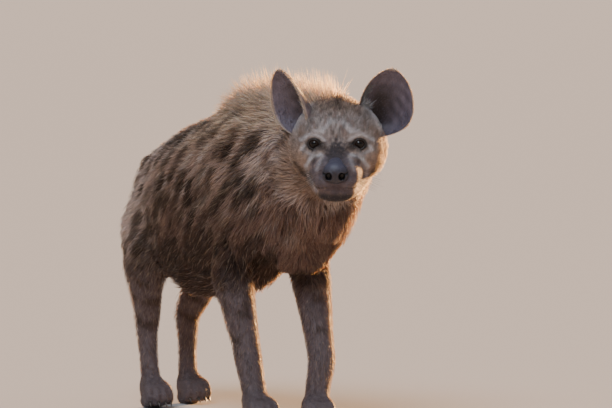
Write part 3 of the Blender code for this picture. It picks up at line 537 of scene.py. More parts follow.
def paw_forms(plan, size):
    """Four toes side by side and the pad behind them, reaching just under the floor's level."""
    forms = []
    for step, reach in TOES:
        aside = step * TOE_SPREAD
        rows = [
            (aside * 0.7, 0.010, 0.036, 0.012, 0.014, 0.034, 2.0),
            (aside * 0.95, -0.020, 0.035, 0.0130, 0.015, 0.038, 2.2),
            (aside * 1.05, -reach, 0.018, 0.0130, 0.013, 0.026, 2.4),
        ]
        forms.append(loft(rows, rings=16, segments=24, caps=(0.01, 0.013)))
    forms.append(ellipsoid((0, 0.000, 0.016), (0.031, 0.032, 0.026)))
    return carried(paw_matrix(plan, size), forms)


def from_leg(points, axis):
    """How far points stand to the left of a leg's middle line, and behind it, at their own height."""
    x, y = (np.interp(points[:, 2], axis[:, 2], axis[:, k]) for k in (0, 1))
    return points[:, 0] - x, points[:, 1] - y


HEAD = head_matrix()
LIP_CORNER = (-0.012, 0.076, -0.071)
# The middle line of each leg, from the ground up
LEG_AXES = [smooth_rows(rows, 30)[::-1, :3] for rows, _, _ in leg_table()]

# Where things are on the animal


def region(points):
    """Shares between 0 and 1 that tell how far a point belongs to head, muzzle, legs, paws and tail."""
    forward, left, up = into(HEAD, points).T
    high = points[:, 2]
    head = ramp(forward, -0.150, -0.110) * ramp(up, -0.165, -0.125) * ramp(np.hypot(left, up), 0.20, 0.17)
    legs = ramp(high, 0.230, 0.200)
    for axis in LEG_AXES:
        far = np.hypot(*from_leg(points, axis))
        legs = np.maximum(legs, ramp(far, 0.095, 0.070) * ramp(high, 0.360, 0.270))
    return {
        "head": head,
        "muzzle": head * ramp(forward, -0.010, 0.030),
        "legs": legs,
        "paws": ramp(high, 0.070, 0.048),
        "tail": ramp(points[:, 1], 0.600, 0.630) * ramp(high, 0.20, 0.24),
    }


def crest(points, facing):
    """How far a point belongs to the mane: a band along the top of the neck and withers."""
    x, y = points[:, 0], points[:, 1]
    middle = 0.020 * bell(y, -0.17, 0.10)
    along = ramp(y, -0.300, -0.255) * ramp(y, 0.190, 0.090)
    high = ramp(points[:, 2], 0.50, 0.60)
    return bell(x, middle, 0.040) * along * high * ramp(facing[:, 2], 0.15, 0.55)


def coat_depth(points):
    """How deep the skin lies under the outline of the short coat."""
    zone = region(points)
    forward = into(HEAD, points)[:, 0]
    return painted(
        np.full(len(points), 0.0130),
        (0.0070, zone["legs"]),
        (0.0028, zone["paws"]),
        (0.0080, zone["tail"]),
        (blend(0.0065, 0.0030, ramp(forward, -0.080, -0.020)), zone["head"]),
        (0.0010, zone["muzzle"]),
    )


# Markings


def turned_to_lie(back, high):
    """Distance back and height turned by half a right angle: along the lie of the hair and across it."""
    return (back - high) * math.sqrt(0.5), (back + high) * math.sqrt(0.5)


def along_lie(points):
    """Side coordinates of the body turned so that the first runs back and down with the hair.

    Over the top of the back the height goes on growing towards the middle, so that no blotch
    is stretched there.
    """
    over_top = np.maximum(0, 0.075 - np.abs(points[:, 0])) * ramp(points[:, 2], 0.50, 0.62)
    return turned_to_lie(points[:, 1], points[:, 2] + over_top)


def drawn_out(points, stretch):
    """Places drawn out along the lie, so that a random field read there runs in streaks."""
    along, across = along_lie(points)
    return np.stack([along * stretch, across, points[:, 0] * 0.5], axis=1)


def other_blotches(seed):
    """Small blotches between the named ones: a jittered grid over the flank."""
    draw = np.random.default_rng(seed)
    spots = []
    for row in range(SMALL_GRID[0]):
        for step in range(SMALL_GRID[1]):
            start = SMALL_START[0] + SMALL_APART[0] * step + SMALL_SHIFT * (row % 2)
            back = start + draw.uniform(-SMALL_STRAY[0], SMALL_STRAY[0])
            high = SMALL_START[1] + SMALL_APART[1] * row + draw.uniform(-SMALL_STRAY[1], SMALL_STRAY[1])
            length, width, dark = draw.uniform(*SMALL_SIZES)
            if min(math.hypot(back - spot[0], high - spot[1]) for spot in BLOTCHES) > SMALL_CLEAR:
                spots.append((back, high, length, width, dark))
    return spots


SMALL_BLOTCHES = {-1: other_blotches(SEED), 1: other_blotches(SEED + 1)}


def blotch_share(points):
    """Dark blotches with edges broken by waves, drawn out along the lie, and streaks between them."""
    along, across = along_lie(points)
    ragged = waves(points, 0.035, 3) * 0.20 + waves(points, 0.012, 4) * 0.20
    share = np.zeros(len(points))
    for _, sign in SIDES:
        side = points[:, 0] * sign > 0
        slip = LEFT_SLIP * (sign > 0)
        for back, high, length, width, dark in BLOTCHES + SMALL_BLOTCHES[sign]:
            first, second = turned_to_lie(back, high)
            far = np.hypot((along - (first + slip)) / length, (across - (second - slip)) / width) + ragged
            share = np.maximum(share, side * dark * ramp(far, 1.45, 0.95))
    drawn = drawn_out(points, 0.30)
    streaks = ramp(waves(drawn, 0.030, 6) + 0.5 * waves(drawn, 0.014, 16), 0.45, 1.20)
    high = ramp(points[:, 2], 0.40, 0.48) * ramp(points[:, 1], -0.09, -0.03)
    return np.maximum(share, 0.40 * streaks * high) * ramp(points[:, 1], -0.135, -0.100)


def body_colour(points, facing):
    """Tan above, brown below, grey tan on the rump, pale in the mane, with streaks and blotches; a painted
    golden glow of light from behind lies on the mane and on the upturned top of the back.
    """
    back = points[:, 1]
    height = points[:, 2] + 0.018 * waves(points, 0.12, 5)
    rump = ramp(back, 0.32, 0.48)
    neck = ramp(back, 0.00, -0.09)
    painted_glow_on_top = ramp(facing[:, 2], 0.32, 0.72) * ramp(back, 0.34, 0.14)
    mane = crest(points, facing)
    drawn = drawn_out(points, 0.35)
    pale = ramp(waves(drawn, 0.040, 17), 0.30, 1.0)
    deep = ramp(waves(drawn, 0.055, 27) + 0.5 * waves(drawn, 0.020, 28), 0.20, 0.90)
    flank = blend(BROWN, TAN, ramp(height, 0.40, 0.60))
    return painted(
        blend(DARK_BROWN * 0.6, flank, ramp(height, 0.32, 0.46)),
        # the rump: its own grey tan, painted paler still to make up for the shade on it
        (GREY_TAN * 1.38, 0.90 * rump * ramp(height, 0.30, 0.42)),
        (GREY_TAN * 1.28, 0.8 * neck * ramp(height, 0.44, 0.56)),
        (BROWN * 1.3, 0.9 * neck * ramp(height, 0.54, 0.42)),
        # pale streaks of hair, tinted cool by a painted sheen of the sky
        (blend(PALE_TAN, PALE_HAIR, 0.45) * 0.85, 0.62 * pale * ramp(height, 0.40, 0.52)),
        (BROWN * 0.85, 0.85 * deep * neck),
        # painted glow of light from behind on the upturned top of the back
        (MANE_GOLD_AND_BACKLIGHT_GLOW, 0.60 * painted_glow_on_top),
        (SPOT_BROWN, blotch_share(points) * (1 - 0.8 * mane)),
        # the mane: its own pale colour, with a painted glow of light from behind
        (MANE_GOLD_AND_BACKLIGHT_GLOW, 0.90 * mane),
    )


# How far a point of the face seems to sink for each metre it stands forward, as the head is bent down
SEEN_DROP = 0.22
# Soft strokes on each side of the face: from and to, each aside and up as seen from ahead,
# then half width, strength and shade
FACE_STROKES = [
    ((0.034, -0.024), (0.058, -0.035), 0.0036, 0.75, "pale"),
    ((0.058, -0.035), (0.068, -0.051), 0.0042, 0.80, "pale"),
    ((0.068, -0.051), (0.065, -0.070), 0.0042, 0.50, "pale"),
    ((0.065, -0.070), (0.043, -0.106), 0.0040, 0.42, "pale"),
    ((0.030, -0.028), (0.041, -0.058), 0.0048, 0.34, "pale"),
    ((0.046, -0.031), (0.050, -0.041), 0.0048, 0.75, "dark"),
    ((0.039, -0.002), (0.024, -0.010), 0.0070, 0.65, "dark"),
    ((0.094, -0.044), (0.077, -0.063), 0.0065, 0.85, "dark"),
    ((0.080, 0.009), (0.058, 0.021), 0.0042, 0.75, "pale"),
    ((0.031, 0.026), (0.048, 0.029), 0.0042, 0.65, "pale"),
    ((0.072, -0.005), (0.078, -0.013), 0.0036, 0.65, "pale"),
    ((0.068, 0.086), (0.098, 0.038), 0.0095, 0.75, "pale"),
    ((0.012, 0.050), (0.034, 0.028), 0.0060, 0.45, "pale"),
    ((0.006, 0.012), (0.016, 0.040), 0.0045, 0.40, "dark"),
    ((0.058, 0.045), (0.066, 0.070), 0.0080, 0.40, "dark"),
]
STROKE_SHADES = {"pale": PALE_HAIR * 0.92, "dark": DARK_BROWN}


def face_ground(points, forward, left, up):
    """The face's ground: grey above the eyes and tan below, with fine streaks that run back."""
    aside = np.abs(left)
    drawn = np.stack([left, up * 0.22, forward * 0.22], axis=1)
    face = blend(FACE_TAN, FACE_GREY, ramp(up, -0.030, 0.030))
    face = blend(face, FACE_TAN * 0.90, ramp(up, 0.050, 0.085))
    face = face * (1 + 0.13 * waves(points, 0.018, 18) + 0.22 * waves(drawn, 0.0055, 19))[:, None]
    warm = ramp(waves(drawn, 0.012, 20) + 0.6 * waves(points, 0.022, 23), 0.10, 0.95)
    crown = bell(left, 0, 0.010) * ramp(up, 0.068, 0.082) * ramp(forward, -0.115, -0.075)
    cheek = ramp(aside, 0.058, 0.076) * ramp(up, -0.015, -0.050)
    return painted(
        face,
        (BROWN * 1.35, 0.55 * warm * ramp(up, -0.010, 0.020)),
        (FACE_TAN * 0.85, 0.6 * ramp(aside, 0.060, 0.085) * ramp(up, -0.02, 0.03)),
        (DARK_BROWN * 0.8, 0.85 * crown),
        (FACE_TAN * 1.25, 0.8 * cheek),
    )


def with_muzzle(points, face, forward, aside, up, seen):
    """The dark disc of the muzzle, the darker bridge of the nose, and the chin."""
    front = ramp(forward, -0.045, -0.010)
    disc = np.hypot(aside / 0.062, (seen + 0.070) / 0.052) + 0.10 * waves(points, 0.02, 8)
    over = np.hypot(aside / 0.024, (seen + 0.022) / 0.032) + 0.16 * waves(points, 0.008, 24)
    bridge = ramp(over, 1.35, 0.55) * front
    return painted(
        face,
        (MUZZLE_GREY * (1 + 0.40 * ramp(disc, 0.5, 1.0))[:, None], ramp(disc, 1.22, 0.78) * front),
        (MUZZLE_GREY * 0.42, 0.95 * bridge),
        (MUZZLE_GREY * 0.26, ramp(up, -0.086, -0.100) * front * ramp(aside, 0.052, 0.030)),
    )


def with_eye_rims(points, face):
    """Round each eye a pale brow, a pale arc below, a dark inner corner and a dark rim."""
    for _, sign in SIDES:
        ahead, left, up = into(eye_matrix(sign), points).T
        out = left * sign
        near = ramp(ahead, -0.014, 0.000)
        far = np.hypot(left, 1.22 * up)
        ring = bell(far, 0.0258, 0.0054) * near
        corner = np.hypot((out + 0.0200) * 0.8, up + 0.002)
        face = painted(
            face,
            (PALE_HAIR, 0.90 * ring * ramp(up, 0.002, 0.014) * ramp(out, 0.018, -0.006)),
            (PALE_HAIR * 0.80, 0.50 * ring * ramp(up, -0.006, -0.016) * ramp(out, -0.020, -0.004)),
            (DARK_BROWN * 0.9, 0.85 * ramp(corner, 0.0120, 0.0045) * near),
            (LIP_BLACK * 1.1, ramp(far, 0.0198, 0.0158) * near),
        )
    return face


def stroke_share(aside, up, start, end, half):
    """1 on a line between two places and 0 away from it, over about its half width."""
    start, end = np.array(start), np.array(end)
    way = end - start
    p = np.stack([aside, up], axis=1) - start
    t = np.clip(p @ way / (way @ way), 0, 1)[:, None]
    return np.exp(-((np.linalg.norm(p - way * t, axis=1) / half) ** 2))


def face_colour(points, colour):
    """Head: grey tan, with a dark muzzle, pale and dark strokes, dark rims to the eyes, and dark lips."""
    forward, left, up = into(HEAD, points).T
    aside = np.abs(left)
    seen = up - SEEN_DROP * forward
    face = face_ground(points, forward, left, up)
    face = with_muzzle(points, face, forward, aside, up, seen)
    ahead = ramp(forward, -0.125, -0.085)
    for start, end, half, share, shade in FACE_STROKES:
        face = blend(face, STROKE_SHADES[shade], share * stroke_share(aside, seen, start, end, half) * ahead)
    corner = np.linalg.norm(np.stack([forward, aside, up], 1) - LIP_CORNER, axis=1)
    face = painted(
        with_eye_rims(points, face),
        (LIP_BLACK, 0.95 * ramp(lip_distance(points), 0.0048, 0.0018)),
        (DARK_BROWN * 0.8, 0.9 * ramp(corner, 0.018, 0.006)),
    )
    return blend(colour, face, region(points)["head"])


def markings(points, facing):
    """The colour of skin and hair at points of the skin."""
    zone = region(points)
    high = points[:, 2]
    dapple = ramp(waves(points, 0.050, 9) + 0.4 * waves(points, 0.020, 10), 0.25, 0.90)
    legs = LEG_BROWN * (1 + 0.15 * waves(points, 0.012, 11))[:, None]
    legs = blend(legs, DARK_BROWN * 0.8, 0.75 * (dapple * ramp(high, 0.12, 0.20)))
    colour = painted(
        body_colour(points, facing),
        (legs, zone["legs"]),
        (LEG_BROWN * 0.9, zone["paws"]),
        (blend(BROWN, DARK_BROWN * 0.8, ramp(high, 0.50, 0.42)), zone["tail"]),
    )
    return face_colour(points, colour)


# The skin


def lip_path():
    """The line between the lips in the head's frame, from corner to corner."""
    left = [LIP_CORNER, (0.030, 0.060, -0.080), (0.074, 0.047, -0.080), (0.104, 0.022, -0.079)]
    points = [(f, -aside, u) for f, aside, u in left] + [(0.110, 0, -0.079)] + left[::-1]
    return smooth_rows(points, 60)


def lip_distance(points):
    """How far each point is from the line between the lips."""
    p = into(HEAD, points)
    far = np.full(len(points), 1.0)
    near = (p[:, 0] > -0.03) & (np.abs(p[:, 1]) < 0.09) & (p[:, 2] < -0.03) & (p[:, 2] > -0.13)
    far[near] = np.linalg.norm(p[near][:, None] - lip_path()[None], axis=2).min(axis=1)
    return far


def relaxed(values, edges, rounds):
    """Values moved towards the mean of their neighbours, each as many rounds as its own number says."""
    first, second = edges.T
    size = len(values)
    count = np.bincount(first, minlength=size) + np.bincount(second, minlength=size)
    for k in range(int(np.max(rounds))):
        total = [np.bincount(first, v[second], size) + np.bincount(second, v[first], size) for v in values.T]
        step = SMOOTH_STEP * np.clip(rounds - k, 0, 1)[:, None]
        values = values * (1 - step) + np.stack(total, axis=1) / count[:, None] * step
    return values


def mesh_arrays(mesh):
    """Points, edges and facing of a mesh as arrays."""
    points = np.zeros(len(mesh.vertices) * 3)
    mesh.vertices.foreach_get("co", points)
    edges = np.zeros(len(mesh.edges) * 2, int)
    mesh.edges.foreach_get("vertices", edges)
    facing = np.zeros(len(mesh.vertices) * 3)
    mesh.vertex_normals.foreach_get("vector", facing)
    return points.reshape(-1, 3), edges.reshape(-1, 2), facing.reshape(-1, 3)


def set_points(mesh, points):
    mesh.vertices.foreach_set("co", points.ravel())
    mesh.update()


def mesh_from(name, points, triangles):
    """A mesh of triangles from two arrays."""
    mesh = bpy.data.meshes.new(name)
    mesh.vertices.add(len(points))
    mesh.vertices.foreach_set("co", points.astype(np.float32).ravel())
    mesh.loops.add(triangles.size)
    mesh.loops.foreach_set("vertex_index", triangles.astype(np.int32).ravel())
    mesh.polygons.add(len(triangles))
    mesh.polygons.foreach_set("loop_start", np.arange(0, triangles.size, 3, dtype=np.int32))
    mesh.update(calc_edges=True)
    mesh.shade_smooth()
    return mesh


def object_of(name, mesh):
    obj = bpy.data.objects.new(name, mesh)
    bpy.context.scene.collection.objects.link(obj)
    return obj


def applied(obj):
    """The object's mesh with its modifiers applied; the modifiers are removed."""
    graph = bpy.context.evaluated_depsgraph_get()
    final = bpy.data.meshes.new_from_object(obj.evaluated_get(graph))
    obj.modifiers.clear()
    obj.data = final
    return final


def fused_skin():
    """Every form of the flesh as one surface, smoothed as the solids are, and sunk by the coat's depth."""
    forms = torso_forms() + neck_forms() + head_forms() + [loft(TAIL_ROWS, caps=(0.02, 0.03))]
    for rows, plan, size in leg_table():
        forms.append(loft(rows, caps=(0.03, 0.01)))
        forms += paw_forms(plan, size)
    skin = object_of("skin", mesh_from("skin", *joined(forms)))
    remesh = skin.modifiers.new("Remesh", "REMESH")
    remesh.mode = "VOXEL"
    remesh.voxel_size = SKIN_VOXEL
    mesh = applied(skin)
    points, edges, _ = mesh_arrays(mesh)
    zone = region(points)
    rounds = painted(SMOOTHING["body"], (SMOOTHING["head"], zone["head"]), (SMOOTHING["paw"], zone["paws"]))
    points = relaxed(points, edges, rounds)
    set_points(mesh, points)
    _, _, facing = mesh_arrays(mesh)
    points = points - facing * relaxed(coat_depth(points)[:, None], edges, np.full(len(points), DEPTH_ROUNDS))
    points[:, 2] = np.maximum(points[:, 2], LOWEST_SKIN)
    set_points(mesh, points)
    return skin


def thin_body(skin):
    """Fewer faces where long hair hides the skin."""
    points, _, _ = mesh_arrays(skin.data)
    zone = region(points)
    loose = np.clip(1 - zone["head"] - zone["paws"] - 0.5 * zone["legs"], 0, 1)
    group = skin.vertex_groups.new(name="loose")
    for level in (1.0, 0.5):
        chosen = np.nonzero((loose > level - 0.3) & (loose <= level + 0.3))[0]
        group.add(chosen.tolist(), level, "REPLACE")
    thin = skin.modifiers.new("Thin", "DECIMATE")
    thin.ratio = THIN_RATIO
    thin.vertex_group = "loose"
    thin.vertex_group_factor = THIN_PULL
    applied(skin)


def refine_face(skin):
    """Splits the faces of the head once, and those round eyes, nose and lips twice."""
    made = bmesh.new()
    made.from_mesh(skin.data)
    for back, below in FACE_SPLITS:
        spots = np.array([face.calc_center_median() for face in made.faces])
        forward, left, up = into(HEAD, spots).T
        chosen = (forward > back) & (up > below) & (np.hypot(left, up) < 0.16)
        made.faces.ensure_lookup_table()
        edges = {edge for k in np.nonzero(chosen)[0] for edge in made.faces[k].edges}
        bmesh.ops.subdivide_edges(made, edges=list(edges), cuts=1, use_grid_fill=True, smooth=0.0)
        bmesh.ops.triangulate(made, faces=[face for face in made.faces if len(face.verts) > 4])
    bmesh.ops.triangulate(made, faces=made.faces)
    made.to_mesh(skin.data)
    made.free()


def almond_share(e):
    """In an eye's frame: 1 on the edge of the opening between the lids, less inside it, more outside."""
    wide, tall, power = EYE_OPENING
    ahead = np.maximum(e[:, 0], 0.002)
    left, up = e[:, 1] / ahead * EYE_OPENING_AT, e[:, 2] / ahead * EYE_OPENING_AT
    return ((np.abs(left) / wide) ** power + (np.abs(up) / tall) ** power) ** (1 / power)


def lid_frame(sign):
    return eye_matrix(sign) @ Matrix.Rotation(EYE_TILT * sign, 4, "X")


def shape_lids(points):
    """Round each eye the skin lies on the ball by the lid's thickness, and opens in an almond."""
    for _, sign in SIDES:
        matrix = lid_frame(sign)
        e = into(matrix, points)
        near = (e[:, 0] > 0.001) & (np.linalg.norm(e, axis=1) < 0.040)
        chosen = e[near]
        share = almond_share(chosen)
        snap = np.where((share > LID_EDGE[0]) & (share < LID_EDGE[1]), 1 / share, 1.0)
        chosen = chosen * np.stack([np.ones(len(snap)), snap, snap], axis=1)
        share = np.where(snap == 1.0, share, 1.0)
        reach = np.linalg.norm(chosen, axis=1)
        fold = LID_FOLD[0] * bell(share, *LID_FOLD[1:]) * ramp(chosen[:, 2], -0.002, 0.004)
        target = blend(EYE_RADIUS + LID_THICK - fold, reach, ramp(share, *LID_FADE))
        target = np.where(share < 0.98, EYE_RADIUS - 0.004, target)
        points[near] = put(matrix, chosen / reach[:, None] * target[:, None])
    return points


def shape_lips(points, facing):
    """A groove between the lips, with a soft roll above and below it."""
    far = lip_distance(points)
    push = LIP_ROLL[0] * bell(far, *LIP_ROLL[1:]) - LIP_GROOVE[0] * bell(far, *LIP_GROOVE[1:])
    return points + facing * push[:, None]


def shape_face(points, facing):
    """A furrow between the brows, and fine creases across the muzzle."""
    forward, left, up = into(HEAD, points).T
    furrow = FURROW_DEEP * bell(left, 0, 0.004) * ramp(up, -0.01, 0.01) * ramp(up, 0.055, 0.035)
    crease = CREASE_DEEP * np.sin(up * 900 + 1.5 * np.sin(left * 90))
    crease = crease * ramp(forward, 0.02, 0.05) * ramp(up, -0.05, -0.02)
    return points - facing * (ramp(forward, -0.04, -0.01) * (furrow + crease))[:, None]


def colour_attribute(mesh, colour):
    rgba = np.concatenate([np.clip(colour, 0, 1), np.ones((len(colour), 1))], axis=1)
    layer = mesh.attributes.new("Coat", "FLOAT_COLOR", "POINT")
    layer.data.foreach_set("color", rgba.astype(np.float32).ravel())


def piece_of(name, surface, shader, colour=None):
    """A finished piece from points and triangles, with its finish and, where given, its colours."""
    mesh = mesh_from(name, *surface)
    if colour is not None:
        colour_attribute(mesh, colour)
    mesh.materials.append(shader)
    return object_of(name, mesh)


def build_skin(shader):
    """The skin with its face, coloured with the markings and a little darker than the hair over it."""
    skin = fused_skin()
    thin_body(skin)
    refine_face(skin)
    points, edges, _ = mesh_arrays(skin.data)
    set_points(skin.data, relaxed(points, edges, FACE_ROUNDS * region(points)["head"]))
    points, edges, facing = mesh_arrays(skin.data)
    points = shape_face(shape_lips(points, facing), facing)
    set_points(skin.data, shape_lids(points))
    points, _, facing = mesh_arrays(skin.data)
    colour_attribute(skin.data, markings(points, facing) * SKIN_DARK)
    skin.data.shade_smooth()
    skin.data.materials.append(shader)
    return skin


# Tufts of hair

# How far the colour of a tuft's tip is that of the skin under the tip, and not of its root
COLOUR_FOLLOWS = 0.90
LOWEST_HAIR = 0.003
# How many tufts are darker than the rest, and how many are pale
DARK_TUFTS = 0.07
PALE_TUFTS = 0.08
# The body's pieces from front to back, and the distances back between which each lies
BODY_PIECES = ("neck", "shoulder", "ribs", "loin", "rump")
BODY_EDGES = (-0.40, -0.085, 0.06, 0.23, 0.40, 0.70)
BODY_SEED = 30
OTHER_SEED = 50
EAR_SEED = 60
# Least and most of a tuft's length, height and width against the usual
LENGTH_RANGE = (0.70, 1.18)
HEIGHT_RANGE = (0.55, 1.15)
WIDTH_RANGE = (0.75, 1.25)
# Spread of a tuft's turn aside, its roll and its lightness
TURN_SPREAD = 0.13
ROLL_SPREAD = 0.45
LIGHT_SPREAD = 0.14
# The share of a tuft's length times its width that it hides
TUFT_SHADOW = 0.6
# Along a tuft: where its rings are, and the share of its width there
LONG_TUFT = ((0.0, 0.75), (0.42, 1.0), (0.76, 0.62))
BODY_TUFT = ((0.0, 0.75), (0.50, 0.95))
SHORT_TUFT = ((0.0, 0.85), (0.55, 0.80))
# How many times over tufts cover the skin; neck and mane are added to the body's
COVER = {
    "body": 2.5,
    "neck": 0.6,
    "mane": 5.4,
    "legs": 0.95,
    "paws": 0.37,
    "tail": 5.0,
    "crown": 2.5,
    "face": 1.6,
    "muzzle": 0.55,
}
# How light a tuft is at its root, below its middle and at its tip: the darker root is painted shade deep in
# the coat
ROOT_SHADE_TONE = (0.55, 1.0, 1.25)
BODY_ROOT_SHADE_TONE = (0.62, 0.98, 1.20)
EAR_ROOT_SHADE_TONE = (0.6, 1.0, 1.25)
# A tuft's depth against its width, and the side of its patch on the flat map
TUFT_DEEP = 0.42
TUFT_PATCH = 0.003


def on_skin(skin, points):
    """The skin's nearest place to each point and the way it faces there, by Shrinkwrap of loose points."""
    cloud = bpy.data.meshes.new("cloud")
    cloud.vertices.add(len(points))
    cloud.vertices.foreach_set("co", points.astype(np.float32).ravel())
    obj = object_of("cloud", cloud)
    wrap = obj.modifiers.new("Shrinkwrap", "SHRINKWRAP")
    wrap.target = skin
    wrap.wrap_method = "NEAREST_SURFACEPOINT"
    places = []
    for mode, offset in (("ON_SURFACE", 0.0), ("ABOVE_SURFACE", 0.005)):
        wrap.wrap_mode = mode
        wrap.offset = offset
        graph = bpy.context.evaluated_depsgraph_get()
        flat = np.zeros(len(points) * 3)
        obj.evaluated_get(graph).data.vertices.foreach_get("co", flat)
        places.append(flat.reshape(-1, 3))
    bpy.data.objects.remove(obj)
    return places[0], unit(places[1] - places[0])


def along_skin(ways, facing):
    """Ways without their part out of the skin, each one long."""
    return unit(ways - facing * np.einsum("ij,ij->i", ways, facing)[:, None])


def hair_sizes(points, facing):
    """Length and width of a tuft, and how high its tip stands, by place on the skin."""
    zone = region(points)
    forward, left, up = into(HEAD, points).T
    back, high = points[:, 1:].T
    breast = ramp(high, 0.50, 0.40)
    under = ramp(facing[:, 2], -0.45, -0.85) * ramp(back, 0.05, 0.12)
    behind = ramp(facing[:, 1], 0.2, 0.7) * ramp(high, 0.13, 0.26)
    face = ramp(forward, -0.075, -0.015)
    cheek = ramp(np.abs(left), 0.052, 0.080) * ramp(forward, 0.000, -0.045) * ramp(up, 0.030, -0.010)
    nape = np.maximum(cheek, ramp(forward, -0.070, -0.120))
    tuft = bell(left, 0, 0.030) * ramp(up, 0.055, 0.075) * ramp(forward, -0.050, -0.080)
    top = crest(points, facing)
    # Share of the place, length and height there, each laid over those before it
    places = [
        (ramp(back, 0.06, -0.06), blend(0.050, 0.032, breast), blend(0.019, 0.011, breast)),
        (ramp(back, 0.42, 0.52), 0.044, 0.016),
        (under, 0.050, 0.022),
        (zone["legs"], blend(0.0175, 0.030, behind), blend(0.0045, 0.0100, behind)),
        (ramp(high, 0.110, 0.060), 0.0085, 0.0022),
        (zone["tail"], 0.075, 0.018),
        (
            zone["head"],
            painted(0.020, (0.0100, face), (0.034, nape), (0.040, tuft)),
            painted(0.0080, (0.0034, face), (0.0125, nape), (0.024, tuft)),
        ),
        (zone["muzzle"], 0.0046, 0.0012),
        (top, 0.092, 0.082),
    ]
    length = painted(np.full(len(points), 0.033), *((long, share) for share, long, _ in places))
    height = painted(np.full(len(points), 0.0125), *((tall, share) for share, _, tall in places))
    width = blend(np.minimum(0.0006 + 0.019 * length, 0.0015), 0.0013, top)
    return length, width, height


def hair_lie(points, facing):
    """The way the hair lies: off the nose over the head, back and down on the body, down on the legs."""
    zone = region(points)
    side = np.sign(points[:, 0])[:, None] * (1.0, 0, 0)
    back = np.array((0, 1.0, 0))
    down = np.array((0, 0, -1.0))
    flank = ramp(facing[:, 2], 0.75, 0.0)
    nose = put(HEAD, np.array([[0.125, 0, -0.030]]))
    lie = painted(
        back * 0.8 + down * (0.15 + 0.75 * flank)[:, None] + 0.10 * side,
        (back + 0.15 * side, ramp(facing[:, 2], -0.3, -0.8) * ramp(points[:, 1], 0.0, 0.1)),
        (down + 0.2 * side, ramp(facing[:, 1], -0.2, -0.8)),
        (down + 0.18 * back, zone["legs"]),
        (down * 0.35 - back, zone["paws"]),
        (down, zone["tail"]),
        (unit(points - nose) + 0.25 * np.array(HEAD)[:3, 2], zone["head"]),
    )
    swirl = [waves(points, 0.070, 21 + k) + 0.8 * waves(points, 0.022, 25 + k) for k in range(3)]
    calm = 1 - 0.6 * zone["head"]
    return along_skin(unit(lie) + 0.17 * np.stack(swirl, axis=1) * calm[:, None], facing)


def scattered_roots(skin, cover, wanted, seed):
    """Places spread over the wanted part of the skin, close enough that tufts cover it so many times."""
    mesh = skin.data
    points, _, facing = mesh_arrays(mesh)
    mesh.calc_loop_triangles()
    corner = np.zeros(len(mesh.loop_triangles) * 3, int)
    mesh.loop_triangles.foreach_get("vertices", corner)
    corner = corner.reshape(-1, 3)
    a, b, c = (points[corner[:, k]] for k in range(3))
    middle = (a + b + c) / 3
    ways_out = unit(np.cross(b - a, c - a))
    area = np.linalg.norm(np.cross(b - a, c - a), axis=1) / 2
    length, width, _ = hair_sizes(middle, ways_out)
    amount = area * cover(middle, ways_out) * wanted(middle) / (TUFT_SHADOW * length * width)
    draw = np.random.default_rng(seed)
    total = np.cumsum(amount)
    count = int(total[-1])
    mark = (np.arange(count) + draw.uniform(0, 1, count)) * (total[-1] / count)
    chosen = np.minimum(np.searchsorted(total, mark), len(total) - 1)
    u, v = draw.uniform(0, 1, (2, count))
    fold = u + v > 1
    u, v = np.where(fold, 1 - u, u), np.where(fold, 1 - v, v)
    roots = a[chosen] + (b - a)[chosen] * u[:, None] + (c - a)[chosen] * v[:, None]
    smooth = facing[corner[chosen]]
    out = smooth[:, 0] * (1 - u - v)[:, None] + smooth[:, 1] * u[:, None] + smooth[:, 2] * v[:, None]
    return roots, unit(out), draw


def ring_steps(shape):
    """Where a tuft's rings lie along it, and its tip."""
    return [row[0] for row in shape] + [1.0]


def tuft_paths(skin, roots, facing, lie, length, height, steps):
    """Middle lines that start under the skin, follow it and rise to their height, with outward ways.

    A lying tuft hugs the skin step by step; one that stands steeply leaves its root in one bend.
    """
    upright = ramp(height / length, 0.45, 0.80)
    sunk = np.minimum(0.004, 0.25 * length)
    lift = np.minimum(height / length, 0.98)[:, None]
    flat = np.sqrt(1 - lift**2)
    spot, way, out = roots, lie, facing
    paths = []
    ways_out = []
    last = 0.0
    for step in steps:
        if step > 0:
            spot, out = on_skin(skin, spot + way * ((step - last) * length)[:, None])
            way = along_skin(lie, out)
        lying = spot + out * (height * (1 - (1 - step) ** 1.8) - sunk * (1 - step) ** 4)[:, None]
        bend = facing * (lift * (1.25 * step - 0.25 * step**2)) + lie * (flat * step * (0.5 + 0.5 * step))
        rising = roots - facing * (sunk * (1 - step) ** 4)[:, None] + bend * length[:, None]
        paths.append(blend(lying, rising, upright))
        ways_out.append(unit(blend(out, unit(facing * flat - lie * lift), upright)))
        last = step
    return np.stack(paths, axis=1), np.stack(ways_out, axis=1)


def tuft_triangles(count, rings):
    """Triangles of so many tufts: rings of three points and a tip, closed at the root."""
    faces = [(0, 1, 2)]
    for k in range(rings - 1):
        for j in range(3):
            a, b = 3 * k + j, 3 * k + (j + 1) % 3
            faces += [(a, a + 3, b), (b, a + 3, b + 3)]
    top = 3 * (rings - 1)
    faces += [(top + j, 3 * rings, top + (j + 1) % 3) for j in range(3)]
    return (np.arange(count)[:, None, None] * (3 * rings + 1) + np.array(faces)[None]).reshape(-1, 3)


